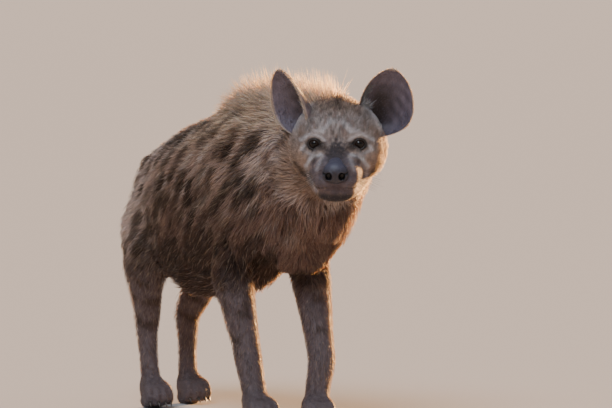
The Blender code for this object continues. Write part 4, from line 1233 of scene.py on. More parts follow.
def tuft_mesh(name, paths, ways_out, width, shape, roll, colour, root_shade_tone, unwrapped):
    """One mesh of many tufts, coloured along each, with a patch of the flat map for each."""
    count, steps = paths.shape[:2]
    rings = steps - 1
    place, wide = np.array(shape).T
    along = unit(np.gradient(paths, axis=1))[:, :rings]
    across = unit(np.cross(along, ways_out[:, :rings]))
    outer = np.cross(across, along)
    c, s = np.cos(roll)[:, None, None], np.sin(roll)[:, None, None]
    across, outer = across * c + outer * s, outer * c - across * s
    wide = (width[:, None] * wide)[..., None]
    middle = paths[:, :rings]
    side = across * wide / 2
    ring = np.stack([middle + side, middle + outer * wide * TUFT_DEEP, middle - side], axis=2)
    points = np.concatenate([ring.reshape(count, rings * 3, 3), paths[:, -1:]], axis=1)
    triangles = tuft_triangles(count, rings)
    mesh = mesh_from(name, points.reshape(-1, 3), triangles)
    share = np.append(np.repeat(place, 3), 1.0)
    cross = np.append(np.tile([0.0, 0.5, 1.0], rings), 0.5)
    # each tuft darker towards its root, as painted shade deep in the coat
    shade = np.interp(share, (0, 0.45, 1.0), root_shade_tone)
    of_ring = np.append(np.repeat(np.arange(rings), 3), rings)
    colour_attribute(mesh, (colour[:, of_ring] * shade[None, :, None]).reshape(-1, 3))
    patch = unwrapped[:, None] + TUFT_PATCH * np.stack([cross, share], axis=1)[None]
    uv_map(mesh, "OFBake", patch.reshape(-1, 2), triangles)
    strand = np.stack([np.arange(count)[:, None] * 0.37 + cross[None], np.tile(share, (count, 1))], axis=-1)
    uv_map(mesh, "Strand", strand.reshape(-1, 2), triangles)
    return mesh


def uv_map(mesh, name, coordinates, triangles):
    layer = mesh.uv_layers.new(name=name)
    layer.data.foreach_set("uv", coordinates[triangles.ravel()].astype(np.float32).ravel())


def body_unwrap(points):
    """Round the body and along it."""
    y = points[:, 1]
    axis_x = np.interp(y, (-0.26, -0.13, 0.06), (0.012, 0.024, 0.0))
    axis_z = np.interp(y, (-0.26, 0.0, 0.3, 0.66), (0.63, 0.53, 0.49, 0.44))
    turn = np.arctan2(points[:, 0] - axis_x, points[:, 2] - axis_z) / (2 * math.pi)
    return np.stack([turn, y], axis=1)


def head_unwrap(points):
    """Round the head and along it."""
    forward, left, up = into(HEAD, points).T
    return np.stack([np.arctan2(left, up + 0.035) / (2 * math.pi), forward], axis=1)


def leg_unwrap(points):
    """Round each leg and down it, the four side by side."""
    best = np.full(len(points), 9.0)
    result = np.zeros((len(points), 2))
    for k, axis in enumerate(LEG_AXES):
        x, y = from_leg(points, axis)
        far = np.hypot(x, y)
        turn = np.arctan2(y, x) / (2 * math.pi) + 0.5
        near = far < best
        result[near] = np.stack([k * 1.1 + turn, points[:, 2] * 4], axis=1)[near]
        best = np.minimum(best, far)
    return result


def tail_unwrap(points):
    """Round the tail and down it."""
    turn = np.arctan2(points[:, 1] - 0.662, points[:, 0]) / (2 * math.pi)
    return np.stack([turn, points[:, 2]], axis=1)


def fitted(unwrapped):
    """A flat map stretched to fill the square."""
    low, high = unwrapped.min(axis=0), unwrapped.max(axis=0)
    return 0.005 + 0.985 * (unwrapped - low) / (high - low)


def fur(skin, name, wanted, cover, unwrap, shape, seed, root_shade_tone):
    """A piece of the coat: tufts where wanted, each varied in length, lift, turn and shade."""
    roots, facing, draw = scattered_roots(skin, cover, wanted, seed)
    count = len(roots)
    length, width, height = hair_sizes(roots, facing)
    uneven = draw.uniform(*LENGTH_RANGE, count)
    length, height = length * uneven, height * uneven * draw.uniform(*HEIGHT_RANGE, count)
    width = width * draw.uniform(*WIDTH_RANGE, count)
    lie = hair_lie(roots, facing)
    lie = unit(lie + np.cross(facing, lie) * draw.normal(0, TURN_SPREAD, count)[:, None])
    paths, ways_out = tuft_paths(skin, roots, facing, lie, length, height, ring_steps(shape))
    paths[:, 1:, 2] = np.maximum(paths[:, 1:, 2], LOWEST_HAIR)
    spots = [blend(roots, path, COLOUR_FOLLOWS) for path in paths.swapaxes(0, 1)]
    colour = np.stack([markings(spot, facing) for spot in spots], axis=1)
    clumps = 0.12 * waves(roots, 0.030, 40) + 0.18 * waves(roots, 0.013, 41) + 0.10 * waves(roots, 0.006, 42)
    light = np.clip(draw.normal(1.0, LIGHT_SPREAD, count) + clumps, 0.5, 1.6)
    grizzle = draw.uniform(0, 1, count)
    light = np.where(grizzle < DARK_TUFTS, light * 0.6, light)
    colour = colour * light[:, None, None]
    colour = np.where((grizzle > 1 - PALE_TUFTS)[:, None, None], colour * 0.65 + PALE_TAN * 0.35, colour)
    roll = draw.normal(0, ROLL_SPREAD, count)
    flat = fitted(unwrap(roots))
    return object_of(name, tuft_mesh(name, paths, ways_out, width, shape, roll, colour, root_shade_tone, flat))


def side_of(sign, low, high):
    """A test for one side of the body between two distances back, clear of head, legs and tail."""

    def wanted(points):
        zone = region(points)
        inside = (points[:, 0] * sign >= 0) & (points[:, 1] >= low) & (points[:, 1] < high)
        for name in ("tail", "legs", "paws"):
            inside = inside & (zone[name] < 0.5)
        return inside * (1 - zone["head"])

    return wanted


def zone_only(name, extra):
    """A test for one region, with a further test of the points."""
    return lambda points: (region(points)[name] >= 0.5) * extra(points)


def is_face(points):
    return into(HEAD, points)[:, 0] > -0.030


def clear_of_eyes(points):
    """0 where the lids open on an eye, on the nose and between the lips."""
    clear = np.ones(len(points))
    for _, sign in SIDES:
        e = into(lid_frame(sign), points)
        near = (e[:, 0] > 0) & (np.linalg.norm(e, axis=1) < 0.030)
        clear *= ~(near & (almond_share(e) < 1.45))
    clear *= lip_distance(points) > 0.0022
    forward, left, up = into(HEAD, points).T
    nose = (forward > 0.070) & (np.abs(left) < 0.026) & (up > -0.070)
    return clear * ~nose


def even(name):
    """The same cover everywhere."""
    return lambda points, facing: COVER[name]


def body_cover(points, facing):
    """Denser in the mane and on the neck than on the flanks."""
    neck = COVER["neck"] * ramp(points[:, 1], 0.04, -0.08)
    return COVER["body"] + neck + COVER["mane"] * crest(points, facing)


def face_cover(points, facing):
    """Full over the cheeks and brows, thin on the muzzle, where the short hair is mostly bump."""
    return blend(COVER["face"], COVER["muzzle"], region(points)["muzzle"])


def build_coat(skin):
    """The coat: five pieces to a side of the body, then legs, paws, tail, crown and face."""
    rows = []
    for side, sign in SIDES:
        for k, name in enumerate(BODY_PIECES):
            wanted = side_of(sign, *BODY_EDGES[k : k + 2])
            piece = f"coat_{name}_{side}"
            rows.append((piece, wanted, body_cover, body_unwrap, BODY_TUFT, BODY_SEED + k, BODY_ROOT_SHADE_TONE))
    legs = zone_only("legs", lambda p: region(p)["paws"] < 0.5)
    paws = zone_only("paws", lambda p: p[:, 2] > 0.004)
    tail = zone_only("tail", lambda p: 1.0)
    crown = zone_only("head", lambda p: (1 - is_face(p)) * clear_of_eyes(p))
    face = zone_only("head", lambda p: is_face(p) * clear_of_eyes(p))
    others = [
        ("coat_legs", legs, even("legs"), leg_unwrap, SHORT_TUFT),
        ("coat_paws", paws, even("paws"), leg_unwrap, SHORT_TUFT),
        ("coat_tail", tail, even("tail"), tail_unwrap, LONG_TUFT),
        ("coat_crown", crown, even("crown"), head_unwrap, SHORT_TUFT),
        ("coat_face", face, face_cover, head_unwrap, SHORT_TUFT),
    ]
    rows += [(*row, OTHER_SEED + k, ROOT_SHADE_TONE) for k, row in enumerate(others)]
    return [fur(skin, *row) for row in rows]


# Eyes, nose, ears, claws and whiskers

# Colours of the eye, and the angles from the line of sight between which pupil and iris end
EYE_WHITE = np.array((0.050, 0.032, 0.026))
IRIS = np.array((0.017, 0.008, 0.005))
PUPIL = np.array((0.003, 0.002, 0.002))
PUPIL_END = (0.36, 0.44)
IRIS_END = (0.86, 0.96)
# The iris's dark edge: its angle and half width
IRIS_RING = (0.84, 0.06)


def eye_surface(sign):
    """A ball with the cornea's bulge in front; its poles lie on the line of sight."""
    polar = np.linspace(0, math.pi, 66)[1:-1, None, None]
    radius = EYE_RADIUS - BALL_IN + CORNEA_RISE * np.exp(-((polar / CORNEA_ANGLE) ** 4))
    ends = np.array([(EYE_RADIUS - BALL_IN + CORNEA_RISE, 0, 0), (BALL_IN - EYE_RADIUS, 0, 0)])
    points, triangles = closed_surface(radius * ball(65, 64)[..., [2, 0, 1]], ends)
    angle = np.arccos(np.clip(unit(points)[:, 0], -1, 1))
    colour = blend(IRIS, EYE_WHITE, ramp(angle, *IRIS_END))
    colour = blend(colour, IRIS * 0.35, bell(angle, *IRIS_RING))
    colour = blend(PUPIL, colour, ramp(angle, *PUPIL_END))
    return (put(eye_matrix(sign), points), triangles), colour


def build_eyes(shader):
    pieces = []
    for name, sign in SIDES:
        surface, colour = eye_surface(sign)
        pieces.append(piece_of(f"eyeball_{name}", surface, shader, colour))
    return pieces


def lid_rim(sign):
    """A thin wet rim along one opening: a round section carried round the almond on the ball."""
    wide, tall, power = EYE_OPENING
    turn = circle(96)
    y = wide * signed_power(np.cos(turn), 2 / power)
    z = tall * signed_power(np.sin(turn), 2 / power)
    way = unit(np.stack([np.full(len(turn), EYE_OPENING_AT), y, z], axis=1))
    centre = way * (EYE_RADIUS + RIM_OUT)
    along = unit(np.roll(centre, -1, axis=0) - np.roll(centre, 1, axis=0))
    side = np.cross(along, way)
    round_ = circle(10)[None, :, None]
    section = np.cos(round_) * way[:, None] * RIM_THICK + np.sin(round_) * side[:, None] * RIM_WIDE
    grid = centre[:, None] + section
    cell = np.arange(grid.shape[0] * grid.shape[1]).reshape(grid.shape[:2])
    after = np.roll(cell, -1, axis=0)
    points = grid.reshape(-1, 3)
    triangles = outward(points, quads(cell, after, np.roll(after, -1, axis=1), np.roll(cell, -1, axis=1)))
    return put(lid_frame(sign), points), triangles


def ellipsoid_reach(ways, start, place, half, pitch):
    """How far a ray from start runs until it leaves an ellipsoid pitched about the left axis."""
    c, s = math.cos(math.radians(pitch)), math.sin(math.radians(pitch))
    turn = np.array([(c, 0, -s), (0, 1, 0), (s, 0, c)])
    d = (ways @ turn.T) / half
    o = ((np.array(start) - place) @ turn.T) / half
    a, b, e = (d * d).sum(-1), (d * o).sum(-1), (o * o).sum() - 1
    root = b * b - a * e
    return np.where(root > 0, (-b + np.sqrt(np.maximum(root, 0))) / a, 0)


# The nose in the head's frame: where its rays start, its pad, top and wings as place,
# half sizes and pitch in degrees, and how sharply they meet
NOSE_START = np.array((0.094, 0, -0.040))
NOSE_FORMS = [
    ((0.100, 0, -0.043), (0.0210, 0.0275, 0.0250), 0),
    ((0.086, 0, -0.027), (0.0240, 0.0185, 0.0125), 12),
    ((0.1035, -0.0165, -0.0480), (0.0140, 0.0118, 0.0130), 0),
    ((0.1035, 0.0165, -0.0480), (0.0140, 0.0118, 0.0130), 0),
]
NOSE_MEET = 700
NOSE_LOW = np.array((0.024, 0.021, 0.031))
# The top of the nose: a painted reflection of the sky, lighter and bluer than the leather
NOSE_TOP_SKY_SHEEN = np.array((0.062, 0.060, 0.094))
# The nostrils' hollows: painted shade, near black
NOSTRIL_SHADE = np.array((0.004, 0.003, 0.004))
# A nostril's round hollow and the slit that curls out and up from it: place aside and up,
# half sizes and depth, and the slit's turn
HOLLOW_AT = (0.0145, -0.0485)
HOLLOW_HALF = (0.0068, 0.0080)
HOLLOW_DEEP = 0.0120
SLIT_AT = (0.0225, -0.0435)
SLIT_HALF = (0.0078, 0.0024)
SLIT_DEEP = 0.0060
SLIT_TURN = math.radians(24)
NOSE_GROOVE = 0.0014
NOSTRIL_RIM = 0.0008


def nose_surface():
    """The furthest of the nose's forms seen from inside, with its nostrils and the groove below."""
    ways = ball(89, 120)
    every = np.vstack([ways.reshape(-1, 3), POLES])
    forms = [ellipsoid_reach(every, NOSE_START, *form) for form in NOSE_FORMS]
    reach = np.log(sum(np.exp(form * NOSE_MEET) for form in forms)) / NOSE_MEET
    points = NOSE_START + every * reach[:, None]
    left, up = points[:, 1], points[:, 2]
    aside = np.abs(left)
    front = ramp(every[:, 0], 0.10, 0.45)
    far = np.hypot((aside - HOLLOW_AT[0]) / HOLLOW_HALF[0], (up - HOLLOW_AT[1]) / HOLLOW_HALF[1])
    c, s = math.cos(SLIT_TURN), math.sin(SLIT_TURN)
    out, high = aside - SLIT_AT[0], up - SLIT_AT[1]
    out, high = out * c + high * s, high * c - out * s
    slit = ramp(np.hypot(out / SLIT_HALF[0], high / SLIT_HALF[1]), 1.2, 0.5)
    groove = bell(left, 0, 0.0011) * ramp(up, -0.036, -0.044)
    depth = front * np.maximum(HOLLOW_DEEP * ramp(far, 1.20, 0.60), SLIT_DEEP * slit)
    depth = depth + NOSE_GROOVE * groove * front - NOSTRIL_RIM * bell(far, 1.42, 0.22) * front
    points = points - np.array((1.0, 0, 0)) * depth[:, None]
    colour = painted(
        NOSE_LOW,
        # painted reflection of the sky on the top of the nose
        (NOSE_TOP_SKY_SHEEN, ramp(up, -0.042, -0.024)),
        # painted shade in the nostrils' hollows
        (NOSTRIL_SHADE, np.maximum(ramp(far, 1.25, 0.95), slit) * front),
    )
    closed, triangles = closed_surface(points[:-2].reshape(*ways.shape), points[-2:])
    return (put(HEAD, closed), triangles), colour


def ear_surface(sign):
    """A cup: at each height an arc of a circle, with the skin's thickness between two such arcs.

    The inner arc carries low ribs near the base, and the rim is rounded by the arcs' shared ends.
    Given back are the grid, the closed surface, and for each point its share of the height,
    its place across from -1 to 1 and whether it lies inside the cup.
    """
    height, half, angle, inward = smooth_rows(EAR_PROFILE, EAR_RINGS).T[..., None]
    angle = np.radians(angle)
    radius = half / np.sin(np.minimum(angle, math.pi / 2))
    skin = EAR_SKIN * (1.25 - 0.85 * np.maximum(height, 0))
    share = np.linspace(-1, 1, EAR_ACROSS)
    turn = share * angle
    ribs = 0.0010 * np.sin(share * 22) * (ramp(height, -0.1, 0.1) * ramp(height, 0.55, 0.25))
    bowl = radius - np.abs(ribs) * (1 - share**4)
    back = radius * np.cos(angle)
    inner = np.stack([back - bowl * np.cos(turn), bowl * np.sin(turn)], -1)
    outer_turn = turn[:, ::-1] * (1 + 0.10 * skin / radius / angle)
    outer_radius = radius + skin * (1 - share[::-1] ** 8) ** 0.5
    outer = np.stack([back - outer_radius * np.cos(outer_turn), outer_radius * np.sin(outer_turn)], -1)
    ring = np.concatenate([inner, outer], axis=1)
    tall = np.broadcast_to(height, ring.shape[:2])
    grid = np.concatenate([ring, tall[..., None] * EAR_HEIGHT], axis=2)
    grid[..., 1] -= inward * sign
    ends = np.array([grid[0].mean(axis=0), grid[-1].mean(axis=0) + (0, 0, 0.003)])
    wide = np.broadcast_to(np.append(share, share[::-1]), tall.shape)
    within = np.broadcast_to(np.repeat([1.0, 0.0], EAR_ACROSS), tall.shape)
    marks = [np.append(v, [v[0, 0], v[-1, -1]]) for v in (tall, wide, within)]
    return grid, closed_surface(grid, ends), marks


def ear_colour(sign, points, tall, wide, within):
    """Dark grey brown inside, darkest low in the bowl, with a pale rim; brown behind."""
    bowl = bell(wide, -0.18 * sign, 0.55) * ramp(tall, 0.90, 0.40)
    inner = blend(EAR_GREY, EAR_DARK * 0.6, 0.95 * bowl)
    inner = inner * (1 + 0.18 * waves(points, 0.02, 12) + 0.10 * waves(points, 0.006, 13))[:, None]
    front_edge = ramp(-wide * sign, 0.35, 0.9) * ramp(tall, 0.60, 0.15)
    behind = LEG_BROWN * (1.1 + 0.2 * waves(points, 0.02, 14))[:, None]
    rim = ramp(np.abs(wide), 0.93, 0.99) + ramp(tall, 0.955, 0.98)
    return painted(
        behind,
        (blend(inner, EAR_GREY * 1.6, 0.6 * front_edge), within),
        (PALE_TAN * 0.8, np.clip(rim, 0, 1) * 0.7),
    )


def build_ears(shader):
    pieces = []
    for name, sign in SIDES:
        _, (points, triangles), marks = ear_surface(sign)
        colour = ear_colour(sign, points, *marks)
        surface = put(ear_matrix(sign), points), triangles
        pieces.append(piece_of(f"ear_cup_{name}", surface, shader, colour))
    return pieces


# Hair of an ear: tufts, heights, places across from the far edge (-1) to the edge by the crown (1),
# inside the cup or behind it, length, lift as a share of it, lie across and up, colour
EAR_HAIR = [
    (420, (-0.20, 0.26), (0.55, 0.99), True, 0.024, 0.28, (-0.45, 0.90), PALE_HAIR * 0.52),
    (240, (0.20, 0.60), (0.72, 0.98), True, 0.014, 0.22, (-0.35, 0.95), PALE_HAIR * 0.28),
    (150, (-0.22, 0.22), (-0.98, -0.60), True, 0.012, 0.22, (0.30, 0.95), EAR_GREY * 1.3),
    (1900, (-0.25, 0.97), (-0.97, 0.97), True, 0.0055, 0.14, (-0.25, 1.00), EAR_GREY * 1.0),
    (2000, (-0.25, 0.98), (-0.99, 0.99), False, 0.0090, 0.16, (0.00, 1.00), LEG_BROWN * 1.1),
    (420, (0.00, 0.98), (0.975, 1.0), True, 0.0060, 0.15, (1.00, 0.60), PALE_TAN),
    (420, (0.00, 0.98), (-1.0, -0.975), True, 0.0060, 0.15, (-1.00, 0.60), PALE_TAN),
    (130, (0.95, 0.985), (-1.0, 1.0), True, 0.0060, 0.05, (0.00, 1.00), PALE_TAN),
]
# Half a step on the ear's grid, over which the ways along and across it are read
EAR_STEP = 0.6


def sampled(grid, row, column):
    """Places on a grid of points read between its rows and columns."""
    row = np.clip(row, 0, grid.shape[0] - 1.001)
    column = np.clip(column, 0, grid.shape[1] - 1.001)
    i, j = row.astype(int), column.astype(int)
    t, u = (row - i)[:, None], (column - j)[:, None]
    low = grid[i, j] * (1 - u) + grid[i, j + 1] * u
    high = grid[i + 1, j] * (1 - u) + grid[i + 1, j + 1] * u
    return low * (1 - t) + high * t


def ear_tufts(sign, kind, draw):
    """Paths, outward ways, widths, colours and places on the flat map of one kind of hair on one ear."""
    count, heights, places, inside, length, lift, lie, colour = kind
    grid = ear_surface(sign)[0]
    levels = smooth_rows(EAR_PROFILE, EAR_RINGS)[:, 0]
    tall = draw.uniform(*heights, count)
    place = draw.uniform(*places, count)
    row = np.interp(tall, levels, np.arange(EAR_RINGS))
    share = (1 - place * sign) / 2 if inside else (1 + place * sign) / 2
    face = grid[:, :EAR_ACROSS] if inside else grid[:, EAR_ACROSS:]
    column = share * (EAR_ACROSS - 1)
    roots = sampled(face, row, column)
    up_way = unit(sampled(face, row + EAR_STEP, column) - sampled(face, row - EAR_STEP, column))
    step = sampled(face, row, column + EAR_STEP) - sampled(face, row, column - EAR_STEP)
    side_way = unit(step) * (-sign if inside else sign)
    facing = unit(np.cross(up_way, side_way))
    facing = facing * (np.sign(facing[:, :1]) if inside else -np.sign(facing[:, :1]))
    way = unit(side_way * lie[0] + up_way * lie[1] + 0.22 * draw.normal(size=(count, 3)))
    long = (length * draw.uniform(0.6, 1.2, count))[:, None]
    paths = []
    for t in ring_steps(SHORT_TUFT):
        rise = long * lift * (1 - (1 - t) ** 1.6) - 0.0006 * (1 - t)
        paths.append(put(ear_matrix(sign), roots + way * long * t + facing * rise))
    turned = facing @ np.array(ear_matrix(sign))[:3, :3].T
    ways_out = np.repeat(turned[:, None], len(paths), axis=1)
    width = (0.0005 + 0.026 * long[:, 0]) * draw.uniform(0.8, 1.2, count)
    light = np.clip(draw.normal(1.0, 0.16, count), 0.5, 1.5)
    tint = np.repeat((colour * light[:, None])[:, None], len(paths), axis=1)
    flat = np.stack([(place + 1) / 4 + (0 if inside else 0.5), tall], axis=1)
    return np.stack(paths, axis=1), ways_out, width, tint, flat


def build_ear_fur():
    """Every kind of hair on each ear, as one piece to an ear."""
    pieces = []
    for name, sign in SIDES:
        draw = np.random.default_rng(EAR_SEED + sign)
        kinds = [ear_tufts(sign, kind, draw) for kind in EAR_HAIR]
        paths, ways_out, width, tint, flat = (np.concatenate(column) for column in zip(*kinds))
        roll = draw.normal(0, 0.4, len(paths))
        piece = f"coat_ear_{name}"
        mesh = tuft_mesh(piece, paths, ways_out, width, SHORT_TUFT, roll, tint, EAR_ROOT_SHADE_TONE, fitted(flat))
        pieces.append(object_of(piece, mesh))
    return pieces


def horn_like(start, end, bend, thick, rings=12, segments=12):
    """A tapered round rod from start to end, bent by bend at its middle: claws and whiskers."""
    t = np.linspace(0, 1, rings)[:, None]
    start, end, bend = np.array(start), np.array(end), np.array(bend)
    centre = start * (1 - t) + end * t + bend * (4 * t * (1 - t))
    along = unit(np.gradient(centre, axis=0))
    side = unit(np.cross(along, (0.13, 0.92, 0.37)))
    up = np.cross(side, along)
    turn = circle(segments)[None, :, None]
    ring = np.cos(turn) * side[:, None] + np.sin(turn) * up[:, None]
    grid = centre[:, None] + ring * (thick * (1 - 0.9 * t**1.3))[:, None]
    return closed_surface(grid, centre[[0, -1]] + along[[0, -1]] * thick * np.array([[-0.3], [0.1]]))


# A claw's root and tip, each ahead of the toe and above the floor, its bend and its thickness
CLAW_ROOT = (0.004, 0.0170)
CLAW_TIP = (0.0205, 0.0060)
CLAW_BEND = (0, -0.001, 0.0030)
CLAW_THICK = 0.0050
# Whiskers on each side: rows and hairs in a row, thickness, sag, and how deep they are rooted
WHISKER_ROWS = 4
WHISKERS_IN_ROW = 5
WHISKER_THICK = 0.00042
WHISKER_SAG = (0, 0, -0.0016)
WHISKER_DEEP = 0.002


def claw_forms():
    """One blunt claw in front of each toe."""
    parts = []
    for _, plan, size in leg_table():
        for step, reach in TOES:
            aside = step * TOE_SPREAD * 1.05
            root = (aside, -reach - CLAW_ROOT[0], CLAW_ROOT[1])
            tip = (aside, -reach - CLAW_TIP[0], CLAW_TIP[1])
            claw = horn_like(root, tip, CLAW_BEND, CLAW_THICK)
            parts += carried(paw_matrix(plan, size), [claw])
    return joined(parts)


def whisker_forms(skin):
    """Stiff hairs in four rows of five on each whisker pad."""
    draw = np.random.default_rng(SEED)
    starts = []
    ways = []
    for _, sign in SIDES:
        for row in range(WHISKER_ROWS):
            for k in range(WHISKERS_IN_ROW):
                aim = np.array((0.25 - 0.16 * k, sign * 1.0, -0.30 - 0.12 * row))
                way = unit(aim + draw.normal(0, 0.06, 3))
                up = -0.050 - 0.0065 * row + 0.001 * k
                starts.append((0.088 - 0.009 * k, sign * (0.040 + 0.002 * k), up))
                ways.append(way * (0.030 + 0.007 * k) * draw.uniform(0.8, 1.1))
    roots, _ = on_skin(skin, put(HEAD, np.array(starts)))
    parts = []
    for root, way in zip(roots, np.array(ways) @ np.array(HEAD)[:3, :3].T):
        inner = root - unit(way) * WHISKER_DEEP
        parts.append(horn_like(inner, root + way, WHISKER_SAG, WHISKER_THICK, rings=7, segments=5))
    return joined(parts)


# Materials

# Each finish: name, scale and depth of its grain, strength and distance of its bump, roughness,
# and its colour where it doesn't carry the markings
FINISHES = {
    "hair": ("coat_hair", 1.0, 0.22, 0.5, 0.0006, 0.62, None),
    "skin": ("short_coat", 700, 0.25, 0.6, 0.0008, 0.70, None),
    "ear": ("ear_skin", 900, 0.20, 0.5, 0.0006, 0.62, None),
    "eye": ("eye_gloss", 260, 0.10, 0.0, 0.0001, 0.06, None),
    "nose": ("nose_leather", 520, 0.25, 0.8, 0.0012, 0.36, None),
    "rim": ("lid_rim", 900, 0.20, 0.3, 0.0004, 0.30, (0.018, 0.012, 0.011)),
    "claw": ("claw_horn", 300, 0.30, 0.3, 0.0005, 0.38, (0.060, 0.045, 0.036)),
    "whisker": ("whisker_hair", 400, 0.15, 0.1, 0.0002, 0.45, (0.05, 0.04, 0.036)),
}
# Further values on a finish's own shader
SHEENS = {
    "hair": {
        "Specular IOR Level": 0.35,
        "Subsurface Weight": 0.25,
        "Subsurface Radius": (1.0, 0.55, 0.25),
        "Subsurface Scale": 0.004,
    },
    "eye": {"Specular IOR Level": 0.30},
}
# How often the grain of the hair repeats across a strand and along it
STRAND_STRETCH = (3.0, 1.2, 1)


def node(tree, kind, values):
    """A shader node with values on its named inputs."""
    made = tree.nodes.new(kind)
    for name, value in values.items():
        made.inputs[name].default_value = value
    return made


def grain_group():
    """Fine uneven grain: a noise that shades a colour and raises the surface."""
    tree = bpy.data.node_groups.new("grain", "ShaderNodeTree")
    for label, side, kind in (
        ("Colour", "INPUT", "NodeSocketColor"),
        ("Place", "INPUT", "NodeSocketVector"),
        ("Scale", "INPUT", "NodeSocketFloat"),
        ("Depth", "INPUT", "NodeSocketFloat"),
        ("Colour", "OUTPUT", "NodeSocketColor"),
        ("Height", "OUTPUT", "NodeSocketFloat"),
    ):
        tree.interface.new_socket(label, in_out=side, socket_type=kind)
    given = tree.nodes.new("NodeGroupInput").outputs
    made = tree.nodes.new("NodeGroupOutput").inputs
    noise = node(tree, "ShaderNodeTexNoise", {"Detail": 4})
    shade = node(tree, "ShaderNodeMapRange", {"From Min": 0.3, "From Max": 0.7})
    mix = node(tree, "ShaderNodeVectorMath", {})
    mix.operation = "SCALE"
    link = tree.links.new
    for operation, limit in (("SUBTRACT", "To Min"), ("ADD", "To Max")):
        math_node = node(tree, "ShaderNodeMath", {0: 1})
        math_node.operation = operation
        link(given["Depth"], math_node.inputs[1])
        link(math_node.outputs[0], shade.inputs[limit])
    link(given["Place"], noise.inputs["Vector"])
    link(given["Scale"], noise.inputs["Scale"])
    link(noise.outputs["Fac"], shade.inputs["Value"])
    link(given["Colour"], mix.inputs[0])
    link(shade.outputs["Result"], mix.inputs["Scale"])
    link(mix.outputs[0], made["Colour"])
    link(noise.outputs["Fac"], made["Height"])
    return tree


def finish(grain, name, scale, depth, strength, distance, roughness, colour, strands=False):
    """A material: the markings or one colour, shaded and raised by the grain.

    The grain lies in the piece's own space, or along the strands of its tufts.
    """
    made = bpy.data.materials.new(name)
    made.use_nodes = True
    tree = made.node_tree
    link = tree.links.new
    shader = tree.nodes["Principled BSDF"].inputs
    box = tree.nodes.new("ShaderNodeGroup")
    box.node_tree = grain
    box.inputs["Scale"].default_value = scale
    box.inputs["Depth"].default_value = depth
    if colour is None:
        marks = tree.nodes.new("ShaderNodeAttribute")
        marks.attribute_name = "Coat"
        link(marks.outputs["Color"], box.inputs["Colour"])
    else:
        box.inputs["Colour"].default_value = (*colour, 1)
    if strands:
        place = node(tree, "ShaderNodeMapping", {"Scale": STRAND_STRETCH})
        strand = tree.nodes.new("ShaderNodeUVMap")
        strand.uv_map = "Strand"
        link(strand.outputs["UV"], place.inputs["Vector"])
        link(place.outputs["Vector"], box.inputs["Place"])
    else:
        link(tree.nodes.new("ShaderNodeTexCoord").outputs["Object"], box.inputs["Place"])
    raised = node(tree, "ShaderNodeBump", {"Strength": strength, "Distance": distance})
    link(box.outputs["Height"], raised.inputs["Height"])
    link(raised.outputs["Normal"], shader["Normal"])
    link(box.outputs["Colour"], shader["Base Color"])
    shader["Roughness"].default_value = roughness
    return made


def materials():
    """Every finish by its short name."""
    grain = grain_group()
    made = {key: finish(grain, *row, strands=key == "hair") for key, row in FINISHES.items()}
    for key, values in SHEENS.items():
        for name, value in values.items():
            made[key].node_tree.nodes["Principled BSDF"].inputs[name].default_value = value
    return made


# Floor, light and camera

FLOOR_HALF = 200.0


def build_floor():
    """A wide pale floor with a faint unevenness."""
    made = bpy.data.materials.new("floor_paint")
    made.use_nodes = True
    tree = made.node_tree
    link = tree.links.new
    shader = tree.nodes["Principled BSDF"].inputs
    noise = node(tree, "ShaderNodeTexNoise", {"Scale": 3})
    tint = node(tree, "ShaderNodeMapRange", {"To Min": 0.56, "To Max": 0.62})
    grey = tree.nodes.new("ShaderNodeCombineColor")
    link(noise.outputs["Fac"], tint.inputs["Value"])
    for channel in ("Red", "Green", "Blue"):
        link(tint.outputs["Result"], grey.inputs[channel])
    link(grey.outputs["Color"], shader["Base Color"])
    shader["Roughness"].default_value = 0.9
    shader["Specular IOR Level"].default_value = 0.0
    corners = np.array([(-1, -1, 0), (1, -1, 0), (1, 1, 0), (-1, 1, 0)]) * FLOOR_HALF
    piece_of("floor", (corners, np.array([(0, 1, 2), (0, 2, 3)])), made)


def camera_ways():
    """Look, right and up of the camera."""
    c = math.cos(CAMERA_ABOVE)
    look = Vector((math.sin(CAMERA_ROUND) * c, math.cos(CAMERA_ROUND) * c, -math.sin(CAMERA_ABOVE)))
    right = Vector((math.cos(CAMERA_ROUND), -math.sin(CAMERA_ROUND), 0))
    return look, right, right.cross(look)


def sun_light(name, way, soft, power, colour):
    """Even light that comes from a direction, softened over an angle in degrees."""
    lamp = bpy.data.lights.new(name, "SUN")
    lamp.angle = math.radians(soft)
    lamp.energy = power
    lamp.color = colour
    obj = object_of(name, lamp)
    obj.rotation_euler = (-Vector(way)).to_track_quat("-Z", "Y").to_euler()


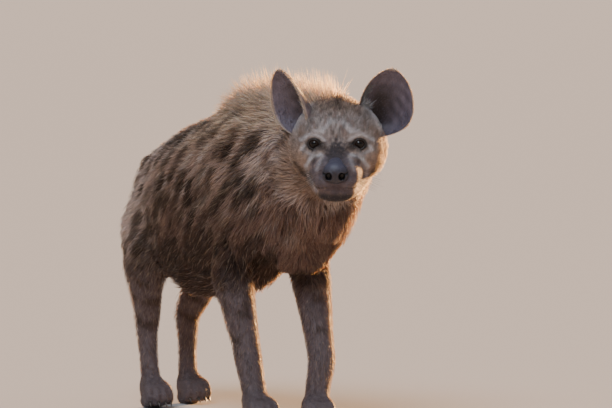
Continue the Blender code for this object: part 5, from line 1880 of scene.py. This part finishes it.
def build_light():
    """A low warm light from behind on the right, a cool soft one from the front, and a plain pale room."""
    look, right, _ = camera_ways()
    up = Vector((0, 0, 1))
    sun_light("warm_side", right * 0.66 + look * 1.14 + up * 0.18, 3, 30.0, (1.0, 0.53, 0.20))
    sun_light("cool_front", up - look - right * 0.30, 30, 1.9, (0.80, 0.89, 1.0))
    world = bpy.data.worlds.new("studio")
    bpy.context.scene.world = world
    world.use_nodes = True
    room = world.node_tree.nodes["Background"].inputs
    room["Color"].default_value = (0.84, 0.84, 0.86, 1)
    room["Strength"].default_value = 0.38


def build_camera(shift):
    """The photo's view: its focal length in pixels goes over to the sensor's width."""
    look, right, up = camera_ways()
    lens = bpy.data.cameras.new("photo_view")
    lens.sensor_fit = "HORIZONTAL"
    lens.sensor_width = SENSOR_WIDTH
    lens.lens = CAMERA_FOCAL * SENSOR_WIDTH / PHOTO_WIDTH
    lens.clip_end = CAMERA_END
    camera = object_of("photo_view", lens)
    turn = Matrix((right, up, -look)).transposed().to_4x4()
    camera.matrix_world = Matrix.Translation(Vector(CAMERA_AIM) + shift - look * CAMERA_AWAY) @ turn
    bpy.context.scene.camera = camera


def main():
    """Every piece, moved from the build's frame so that the right eye lies where the solid's does."""
    low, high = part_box("eye_right")
    shift = (low + high) / 2 - eye_matrix(-1).translation
    shift.z = 0
    finishes = materials()
    skin = build_skin(finishes["skin"])
    coat = build_coat(skin) + build_ear_fur()
    for piece in coat:
        piece.data.materials.append(finishes["hair"])
    eyes = build_eyes(finishes["eye"])
    rims = piece_of("lid_rims", joined([lid_rim(sign) for _, sign in SIDES]), finishes["rim"])
    surface, colour = nose_surface()
    nose = piece_of("nose_pad", surface, finishes["nose"], colour)
    ears = build_ears(finishes["ear"])
    claws = piece_of("claws", claw_forms(), finishes["claw"])
    whiskers = piece_of("whiskers", whisker_forms(skin), finishes["whisker"])
    for piece in (skin, *coat, *eyes, rims, nose, *ears, claws, whiskers):
        piece.data.transform(Matrix.Translation(shift))
        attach(piece, "root")
    flesh = [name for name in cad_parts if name.split("_")[0] not in ("eye", "ear", "nose")]
    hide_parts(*flesh)
    for piece, name in zip([*eyes, nose, *ears], ("eye_right", "eye_left", "nose", "ear_right", "ear_left")):
        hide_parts(name)
    build_camera(shift)
    build_floor()
    build_light()


main()
